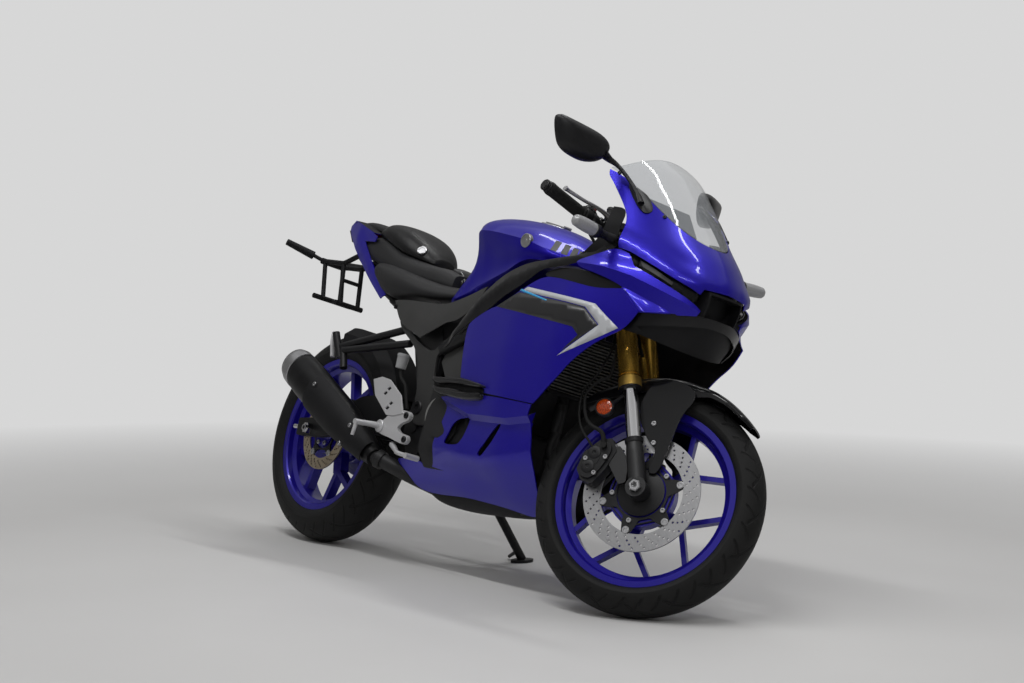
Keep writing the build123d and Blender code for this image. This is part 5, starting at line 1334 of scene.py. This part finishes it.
# ---- mirrors, indicators and controls ----------------------------------------------------------------
MIRROR_EDGE = [(-376, 1099), (-357, 1083), (-325, 1075), (-277, 1073), (-234, 1090), (-213, 1124),
               (-222, 1144), (-255, 1156), (-300, 1160), (-358, 1163), (-392, 1164), (-396, 1146)]
MIRROR_BASE = np.array([1287, 146, 1000.0])
FOLD = turn_matrix((0, 0, 1), math.radians(36))
BASE_COVER = [(-60.5, 1062), (-52, 1050), (-44.5, 1034), (-42.3, 1009), (-43.5, 990), (-48.8, 980),
              (-52.5, 988), (-56.5, 1014)]


def scaled_rings(edge, steps):
    """An outline shrunk about its middle at each step of (place along x, size, drop)."""
    middle = edge.mean(0)
    rings = []
    for x, size, drop in steps:
        flat = middle + (edge - middle) * size + (drop * 0.4, -drop * 0.3)
        rings.append(np.column_stack([np.full(len(flat), x), flat]))
    return np.array(rings)


def folded(shape):
    """The left mirror's shape, turned back about its foot and set in its place."""
    return (shape[0] - MIRROR_BASE) @ FOLD.T + MIRROR_BASE + (0, 7, -20), shape[1]


def add_mirrors():
    """Mirror heads on their stems, the left one folded back, with covers over the feet."""
    edge = curved(MIRROR_EDGE, 2)
    back = ((1173, 0.93, 0), (1170, 0.96, 0), (1171, 0.99, 0), (1175, 1, 0), (1184, 1, 0), (1192, 0.96, 2),
            (1201, 0.86, 5), (1208, 0.68, 9), (1212, 0.42, 14))
    shell = skin(scaled_rings(edge, back))
    glass = skin(scaled_rings(edge, ((1171.5, 0.9, 0), (1173.5, 0.92, 0))))
    stem = tube([(1190, -238, 1112), (1188, -212, 1104), (1204, -190, 1092), (1234, -172, 1064),
                 (1266, -160, 1030), (1286, -156, 1004)], [17, 14, 9, 8, 9, 12], 14, flat=0.62)
    arm = joined(shell, stem)
    show("right_mirror", arm, "satin_black", replaces=["mirrors"], sharp=40)
    show("left_mirror", folded(flipped(arm)), "gloss_black", sharp=40)
    show("mirror_glasses", joined(glass, folded(flipped(glass))), "mirror_glass", slot="fork_chrome")
    crest = on_arc([(-55, 1040), (-50, 1000)])
    cover = panel(on_arc(BASE_COVER), nose(lambda flat: 1.5 + 9 * tent(flat, crest, 26)), spacing=7)
    show("mirror_base_covers", mirrored(cover), "satin_black", wall=4, bevel=1)
    at = nose(1.0)(np.array(on_arc([(-67, 1084), (-35.5, 983)])))
    show("nose_screws", mirrored(bolts(at, (0.35, -0.9, 0.3), 5, 3)), "satin_black")


def add_indicators():
    """Lenses whose radius bulges and steps in and out along their length, on short stems."""
    run = np.linspace(14, 84, 71)
    ribs = 16.6 - 0.0016 * (run - 44) ** 2 + 0.5 * (np.arange(71) // 2 % 2)
    start, direction = (1262, -246, 902), np.array((8, -98, 8)) / 98.7
    lens = lathe([(12, 12), *zip(run, ribs), (88, 12), (92, 6), (93, 2)], start, direction, 28)
    body = lathe([(-6, 10), (-2, 13), (6, 17.5), (18, 18), (20, 16)], start, direction, 28)
    stem = tube([(1262, -200, 899), (1262, -224, 901), (1262, -248, 902)], [13, 10, 12], 16)
    show("front_indicator_lenses", mirrored(lens), "indicator_lens", slot="lamp", sharp=60,
         replaces=["front_indicators"])
    show("front_indicator_stems", mirrored(joined(body, stem)), "satin_black")


BAR_ROOT = on_leg(RIGHT, 672.5) + (-8, -26, 0)
BAR_END = np.array([960, -348, 921.0])
BAR_LENGTH = np.linalg.norm(BAR_END - BAR_ROOT)
BAR_RUN = (BAR_END - BAR_ROOT) / BAR_LENGTH
GRIP_LENGTH, BAR_WEIGHT = 122, 16
GRIP_FROM = BAR_LENGTH - (GRIP_LENGTH + BAR_WEIGHT)


def on_bar(reach, fore=0.0, high=0.0):
    """A point of the right bar at a reach from the grip's inner end, or ahead of it and above it."""
    return BAR_ROOT + BAR_RUN * (GRIP_FROM + reach) + (fore, fore * 0.17, high - fore * 0.13)


def bar_tube(places, radius, sides=12, flat=1.0):
    """A tube through places given by their reach along the bar, ahead and above."""
    return tube([on_bar(*place) for place in places], radius, sides, flat=flat)


def add_grips():
    """Grips whose radius steps in fine rings and swells at the end, and the bars' end weights."""
    run = np.arange(4, 120, 1.5)
    rings = 16.6 + 0.5 * (np.arange(len(run)) // 2 % 2) + 0.9 * np.exp(-((run - 112) / 6) ** 2)
    grip = lathe([(0, 12), (0, 21), (3, 22), (5, 21), *zip(run + 2, rings), (122, 15), (122.2, 11.3)],
                 on_bar(0), BAR_RUN, 32)
    weight = lathe([(0, 11), (0, 15.6), (3, 16), (5, 14.2), (8, 14.2), (10, 15.4), (14, 14.6), (16, 11),
                    (15, 5)], on_bar(GRIP_LENGTH), BAR_RUN, 32)
    show("grip_rubbers", mirrored(grip), "rubber", "steering", replaces=["grips"])
    show("bar_weights", mirrored(weight), "satin_black", "steering")


def add_housings():
    """Switch housing, clamp, master cylinder, lever pivot and switch box on each bar."""
    housing = lathe([(0, 14), (0, 20), (3, 22), (20, 22.5), (22, 21), (24, 22.5), (43, 22), (46, 19),
                     (46, 14)], on_bar(-47), BAR_RUN, 28)
    clamp = lathe([(0, 13), (2, 18), (26, 18), (28, 13)], on_bar(-78), BAR_RUN, 24)
    cylinder = bar_tube([(-78, 12, 6), (-62, 26, 16), (-42, 38, 24)], [12, 15, 12], 16, 0.8)
    pivot = lathe([(-13, 9), (-12, 12), (12, 12), (13, 9)], on_bar(-40, 40, 24), (0, 0, 1), 20,
                  level=(1, 0, 0))
    box = bar_tube([(-40, -4, 16), (-18, -2, 22), (-6, 0, 16)], [13, 15, 12], 8, 0.8)
    show("switch_housings", mirrored(joined(housing, clamp, cylinder, pivot, box)), "satin_black", "steering",
         replaces=["hand_controls"], sharp=40)


def add_levers():
    """A flat lever before each grip, wider at its pivot and at its ball end."""
    ball = GRIP_LENGTH + BAR_WEIGHT
    lever = bar_tube([(-40, 40, 24), (-10, 48, 27), (30, 52, 24), (70, 50, 18), (ball - 22, 46, 14),
                      (ball - 10, 46, 14)], [10, 8, 6.5, 6, 6.5, 9], 14, 0.72)
    show("levers", mirrored(lever), "cast_alloy", "steering")


def add_switches():
    """The red stop switch on the right, and dark knobs on both sides."""
    stop = bar_tube([(-30, 0, 16), (-30, 2, 33)], [6, 5])
    show("stop_switch", stop, "red_lens", "steering", slot="tail_lamp")
    knobs = joined(*(bar_tube([(reach, fore * 0.4, 14), (reach, fore, high)], [radius, radius - 1])
                     for reach, fore, high, radius in ((-16, 14, 24, 6), (-44, -12, 26, 7), (-20, -18, 20, 5),
                                                       (-58, 6, 24, 8))))
    show("switch_knobs", mirrored(knobs), "gloss_black", "steering")


def add_reservoir():
    """The front brake's pot with its cap, on a stalk."""
    at = on_bar(-84, 12, 30) + (-12, 6, 6)
    pot = lathe([(-4, 13), (0, 17), (24, 18.5), (25, 20), (31, 20), (33, 18), (33, 4)], at, (0.05, 0, 1), 28)
    stalk = tube([on_bar(-70, 20, 6), on_bar(-80, 16, 20), at + (0, 0, 2)], [8, 6, 7], 10, flat=0.6)
    show("brake_reservoir", joined(pot, stalk), "satin_black", "steering")


def add_control_lines():
    """Three lines from each bar to the steering head."""
    lines = [
        [on_bar(-70, 40, 4), on_bar(-92, 66, -6), (1140, -120, 868), (1150, -92, 800), (1162, -80, 730),
         (1190, -70, 680)],
        [on_bar(-30, 8, -16), on_bar(-66, 34, -40), (1122, -110, 840), (1140, -70, 790)],
        [on_bar(-14, 4, -18), on_bar(-50, 24, -52), (1104, -100, 824), (1130, -50, 780)],
    ]
    show("control_lines", mirrored(joined(*(tube(line, 4.2, 10) for line in lines))), "rubber", "steering")


# ---- panels of the cockpit, radiator and duct --------------------------------------------------------
INNER_SIDE = [(1205, 992, 1), (1262, 986), (1272, 930), (1270, 880), (1262, 868, 1), (1198, 852), (1150, 842),
              (1086, 836), (1090, 846), (1140, 858), (1180, 880), (1212, 920)]


def add_inner_sides():
    """Dark walls between the nose and the side cowls."""
    def surface(flat):
        """Places to points, whose half width goes by height."""
        out = np.interp(flat[:, 1], (836, 880, 940, 992), (186, 196, 190, 172))
        return np.column_stack([flat[:, 0], -out, flat[:, 1]])
    side = panel(INNER_SIDE, surface, spacing=12)
    show("inner_side_panels", mirrored(side), "matt_black", wall=3, bevel=0.8)


def add_radiator():
    """Slats across the core, on its own slope, with a rim round them."""
    slats = []
    for z in np.arange(518, 668, 8.4):
        x = 1086.5 + (z - 512) * 6 / 156
        ring = np.array([(x + 0.5, z - 1.4), (x + 9, z - 0.6), (x + 9, z + 1.9), (x + 0.5, z + 2.6)])
        rings = [np.column_stack([ring[:, 0], np.full(4, y), ring[:, 1]]) for y in (148, -148)]
        slats.append(skin(rings))
    show("radiator_slats", joined(*slats), "radiator_fin", slot="black_matt")
    frame_run = [(1094, -154, 512), (1100, -154, 672), (1100, 154, 672), (1094, 154, 512), (1094, -154, 512)]
    rim = joined(*(tube([a, b], [7, 7], 8, steps=1) for a, b in zip(frame_run[:-1], frame_run[1:])))
    fan = lathe([(0, 60), (14, 60), (14, 50), (2, 46), (2, 10), (16, 8)], (1066, 0, 592), (-1, 0, 0), 32)
    show("radiator_rim", joined(rim, fan), "satin_black")


# ---- footrests, frame plates and belly ---------------------------------------------------------------
HEEL = [(356, 477), (396, 487), (438, 482), (508, 443), (538, 394), (498, 384), (459, 383), (383, 433)]
HEEL_SLOTS = ([(421, 441), (431, 436), (442, 444), (431, 449)],
              [(434, 455), (444, 450), (455, 458), (444, 463)],
              [(447, 401), (457, 396), (468, 404), (457, 409)],
              [(459, 415), (469, 410), (480, 418), (469, 423)])
HANGER = [(424, 338), (430, 362), (452, 368), (470, 388), (500, 400), (552, 404), (572, 394), (566, 376),
          (534, 366), (520, 350), (548, 338), (576, 338), (586, 324), (574, 310), (540, 314), (500, 322),
          (470, 326), (446, 330)]
FRAME_PLATE = [(330, 664), (349, 639), (425, 597), (447, 577), (467, 553), (497, 472), (502, 431), (510, 402),
               (518, 373), (584, 376), (570, 421), (579, 463), (560, 516), (551, 559), (555, 578), (580, 600),
               (642, 648), (700, 692), (735, 722), (725, 728), (656, 676), (562, 612), (527, 580), (469, 598),
               (414, 624), (352, 664)]
RECESS = [(352, 664), (414, 624), (469, 598), (527, 580), (562, 612), (656, 676), (725, 728), (600, 712),
          (310, 706)]
INNER_WALL = [(660, 664), (574, 594), (562, 557), (596, 516), (690, 500), (840, 500), (840, 690), (720, 700)]


def add_footrests():
    """A slotted heel plate on each side, and a hanger that carries the folding footrest."""
    show("heel_plates", mirrored(plate(HEEL, 4, upright(181), HEEL_SLOTS, rounds=0)), "silver_plate", bevel=1,
         replaces=["rider_footrests"])
    hanger = plate(HANGER, 12, upright(178), rounds=2)
    lug = lathe([(-10, 17), (3, 18), (5, 16), (5, 8)], (440, -178, 350), RIGHTWARD, 24)
    peg = tube([(440, -168, 350), (434, -190, 350), (430, -256, 344)], [9, 10.5, 11, 10, 10], 14, flat=0.8)
    feeler = tube([(431, -250, 350), (428, -252, 306)], [6, 5], 10, steps=1, level=(1, 0, 0))
    show("footrest_hangers", mirrored(joined(hanger, lug, peg, feeler)), "silver_plate", bevel=1)


def add_pedals():
    """The brake pedal on the right and the gear lever on the left, each with its pad."""
    parts = []
    for side, (x, z) in ((RIGHT, (660, 278)), (LEFT, (680, 316))):
        lever = tube([(498, -162, 306), (540, -176, 292), (576, -190, 284), (x, -190, z)], [9, 7, 6, 6], 12)
        pedal = joined(lever, tube([(x, -182, z), (x, -226, z)], [8, 8], 12, steps=1))
        parts.append(pedal if side == RIGHT else flipped(pedal))
    show("pedals", joined(*parts), "silver_plate")


def add_footrest_trim():
    """Bolts of the hangers, and the tips of the passenger's footrests."""
    heads = bolts([(554, -178, 390), (570, -178, 324)], RIGHTWARD, 9, 5)
    show("hanger_bolts", mirrored(heads), "satin_black")
    tip = tube([(74, -170, 602), (86, -170, 566), (98, -167, 528)], [5, 9, 9], 12, flat=0.6)
    show("passenger_pegs", mirrored(tip), "silver_plate")


def add_rear_reservoir():
    """The rear brake's cup with its cap, and the hose down to the cylinder."""
    cup = lathe([(-2, 11), (0, 15), (32, 17), (33, 18.5), (40, 18.5), (42, 16), (42, 4)], (400, -131, 524),
                (0.04, 0, 1), 24)
    show("rear_reservoir", cup, "indicator_lens", slot="alloy")
    hose = tube([(404, -131, 526), (414, -131, 500), (444, -131, 478), (462, -131, 446),
                 (480, -131, 412)], 5, 10)
    show("rear_reservoir_hose", hose, "rubber")


def add_frame_plates():
    """Frame plates and the dark walls behind them, caps, screws, and the engine cover."""
    spar = plate(FRAME_PLATE, 8, upright(127), rounds=1)
    show("frame_plates", mirrored(spar), "frame_grey", bevel=1.5)
    recess = plate(RECESS, 4, upright(116), rounds=0)
    wall = plate(INNER_WALL, 4, upright(113), rounds=0)
    show("frame_recesses", mirrored(recess), "matt_black")
    show("inner_walls", mirrored(wall), "grey_plastic", slot="black_matt")
    pivot = lathe([(-6, 20), (2, 20), (5, 17), (5, 9), (1, 8)], (522, -127, 422), RIGHTWARD, 28)
    show("pivot_caps", mirrored(pivot), "satin_black")
    places = [(300, -130, 700), (720, -166, 736)]
    show("cover_screws", mirrored(bolts(places, RIGHTWARD, 7, 3)), "gloss_black")
    ring = lathe([(-50, 46), (-4, 47), (2, 46), (5, 42), (5, 35), (1, 33), (1, 22), (3, 21), (3, 12),
                  (1, 11)], (650, -152, 408), RIGHTWARD, 44)
    show("engine_side_cover", ring, "cover_grey")
    nut = lathe([(-4, 15), (4, 15), (7, 12), (7, 7)], REAR_AXLE - ACROSS * 119, RIGHTWARD, 6)
    show("axle_nut_rear", nut, "cast_alloy", slot="alloy")


BELLY = (
    (590, ((0, 240), (44, 238), (70, 228), (72, 208), (50, 194), (0, 190))),
    (660, ((0, 244), (60, 242), (92, 220), (88, 192), (56, 180), (0, 177))),
    (780, ((0, 244), (66, 242), (98, 220), (90, 196), (54, 183), (0, 180))),
    (930, ((0, 244), (60, 242), (86, 224), (78, 206), (44, 193), (0, 189))),
    (1016, ((0, 250), (44, 248), (62, 238), (54, 222), (32, 208), (0, 204))),
)


def add_belly():
    """Two pipes down from the engine into one under it, and a closed pan round them."""
    runs = [tube([(962, y, 592), (1006, y, 588), (1030, y, 556), (1031, y * 0.95, 420), (1028, y * 0.9, 280),
                  (1000, y * 0.7, 222), (920, y * 0.5, 208), (780, -20, 206)], 16, 16) for y in (-45, 45)]
    link = tube([(800, -20, 206), (650, -40, 212), (590, -70, 222), (530, -112, 238), (470, -140, 254),
                 (424, -158, 266)], 21, 20)
    band = lathe([(0, 22), (0, 26), (18, 27), (20, 25), (20, 22)], (452, -147, 258), (-0.83, -0.5, 0.26), 28)
    show("exhaust_run", joined(*runs, link, band), "engine_grey", replaces=["exhaust_pipes"])
    show("belly_pan", loft(BELLY, 6, 2), "matt_black", sharp=50)


# ---- stage -------------------------------------------------------------------------------------------
FLOOR_R, COVE, WALL_TOP = 7.6, 1.2, 7.0  # metres: flat floor, round foot of the wall, height
GLOW, GLOW_FROM = (0.68, 0.68, 0.68), (3.0, 2.6)  # the backdrop's own light; where it sets in, and how softly
SKY = {"From Min": 0.62, "From Max": 0.95, "To Min": 0.66, "To Max": 0.3}  # height, then tone


def add_stage():
    """A pale floor that curves up into a pale round wall, under a white sky and soft lamps."""
    angle = np.linspace(0, 2 * math.pi, 96, endpoint=False)
    bend = np.linspace(0, math.pi / 2, 16)
    radius = [0.0001, 2.0, 4.0, 6.0, *(FLOOR_R + COVE * np.sin(bend)), FLOOR_R + COVE]
    height = [0, 0, 0, 0, *(COVE - COVE * np.cos(bend)), WALL_TOP]
    radius, height = (np.array(run)[:, None] for run in (radius, height))
    rings = np.stack([radius * np.cos(angle), radius * np.sin(angle), height + 0 * angle], -1)
    points, faces = turned_over(skin(rings, caps=False))
    made = add_finish("floor", (0.53, 0.525, 0.52), 0.6, 0.0, (0.59, 0.585, 0.58), (1.1, 4))
    seen = made.node("ShaderNodeLightPath", output="Is Camera Ray")
    away = made.node("ShaderNodeVectorMath", {"operation": "LENGTH"}, {0: made.place()}, "Value")
    share = seen * away.step(*GLOW_FROM)
    glow = made.node("ShaderNodeEmission", None, {"Color": (*GLOW, 1), "Strength": 1.0})
    mixed = made.node("ShaderNodeMixShader", None,
                      {0: share, 1: Signal(made, made.shader.outputs[0]), 2: glow})
    made.tree.links.new(mixed.socket, made.tree.nodes["Material Output"].inputs["Surface"])
    add_object("floor", points, faces, made.material)
    add_sky()
    add_lamp("ceiling_strip", (0.4, -1.5, 3.6), (0.4, 0, 0.4), 3.4, 60, 0.15)
    add_lamp("ceiling_strip_far", (0.2, 1.2, 3.8), (0.2, 0, 0.4), 3.4, 46, 0.14)
    add_lamp("front_strip", (3.8, -2.0, 3.0), (0.6, 0, 0.5), 1.8, 26, 0.16)
    bpy.context.scene.view_settings.view_transform = "Standard"


def add_sky():
    """A grey sky that is darker straight above: its tone falls with the height of the direction."""
    world = bpy.context.scene.world or bpy.data.worlds.new("world")
    bpy.context.scene.world = world
    world.use_nodes = True
    tree = world.node_tree
    ramp = tree.nodes.new("ShaderNodeMapRange")
    split = tree.nodes.new("ShaderNodeSeparateXYZ")
    tree.links.new(tree.nodes.new("ShaderNodeTexCoord").outputs["Generated"], split.inputs[0])
    tree.links.new(split.outputs[2], ramp.inputs["Value"])
    for key, value in SKY.items():
        ramp.inputs[key].default_value = value
    tree.links.new(ramp.outputs["Result"], tree.nodes["Background"].inputs["Color"])
    tree.nodes["Background"].inputs["Strength"].default_value = 1.0


NODE_FINISH = {
    "front_tread": ["front_tyre"],
    "rear_tread": ["rear_tyre"],
    "wheel_paint": ["front_rim", "rear_rim"],
    "brushed_steel": ["rear_sprocket", "chain"],
    "fork_leg": ["fork_lowers"],
    "chrome": ["front_axle", "rear_axle"],
    "fork_gold": ["fork_outers"],
    "satin_black": ["fork_clamps", "handlebars", "front_caliper", "rear_caliper", "main_frame", "subframe",
                    "swingarm", "side_stand", "stand_bracket", "rear_shock", "pillion_footrests"],
    "matt_black": ["radiator", "plate_bracket", "inner_cowl", "instrument_panel", "rear_hugger",
                   "rear_lamps"],
    "engine_grey": ["engine"],
    "cast_alloy": ["tank_cap"],
}
for name, members in NODE_FINISH.items():
    for member in members:
        nodes[member].data.materials.clear()
        nodes[member].data.materials.append(finishes[name])

for add_part in (
    add_side_cowls, add_lower_cowls, add_strips, add_side_scoops, add_side_covers, add_nose, add_wings,
    add_bridges, add_chin, add_lamp_slots, add_tank, add_seats, add_tail, add_discs, add_muffler, add_fender,
    add_caliper, add_brake_line, add_reflectors, add_fork_trim, add_mirrors, add_indicators, add_grips,
    add_housings, add_levers, add_switches, add_reservoir, add_control_lines, add_inner_sides, add_radiator,
    add_footrests, add_pedals, add_footrest_trim, add_rear_reservoir, add_frame_plates, add_belly,
):
    add_part()
add_stage()
add_camera()
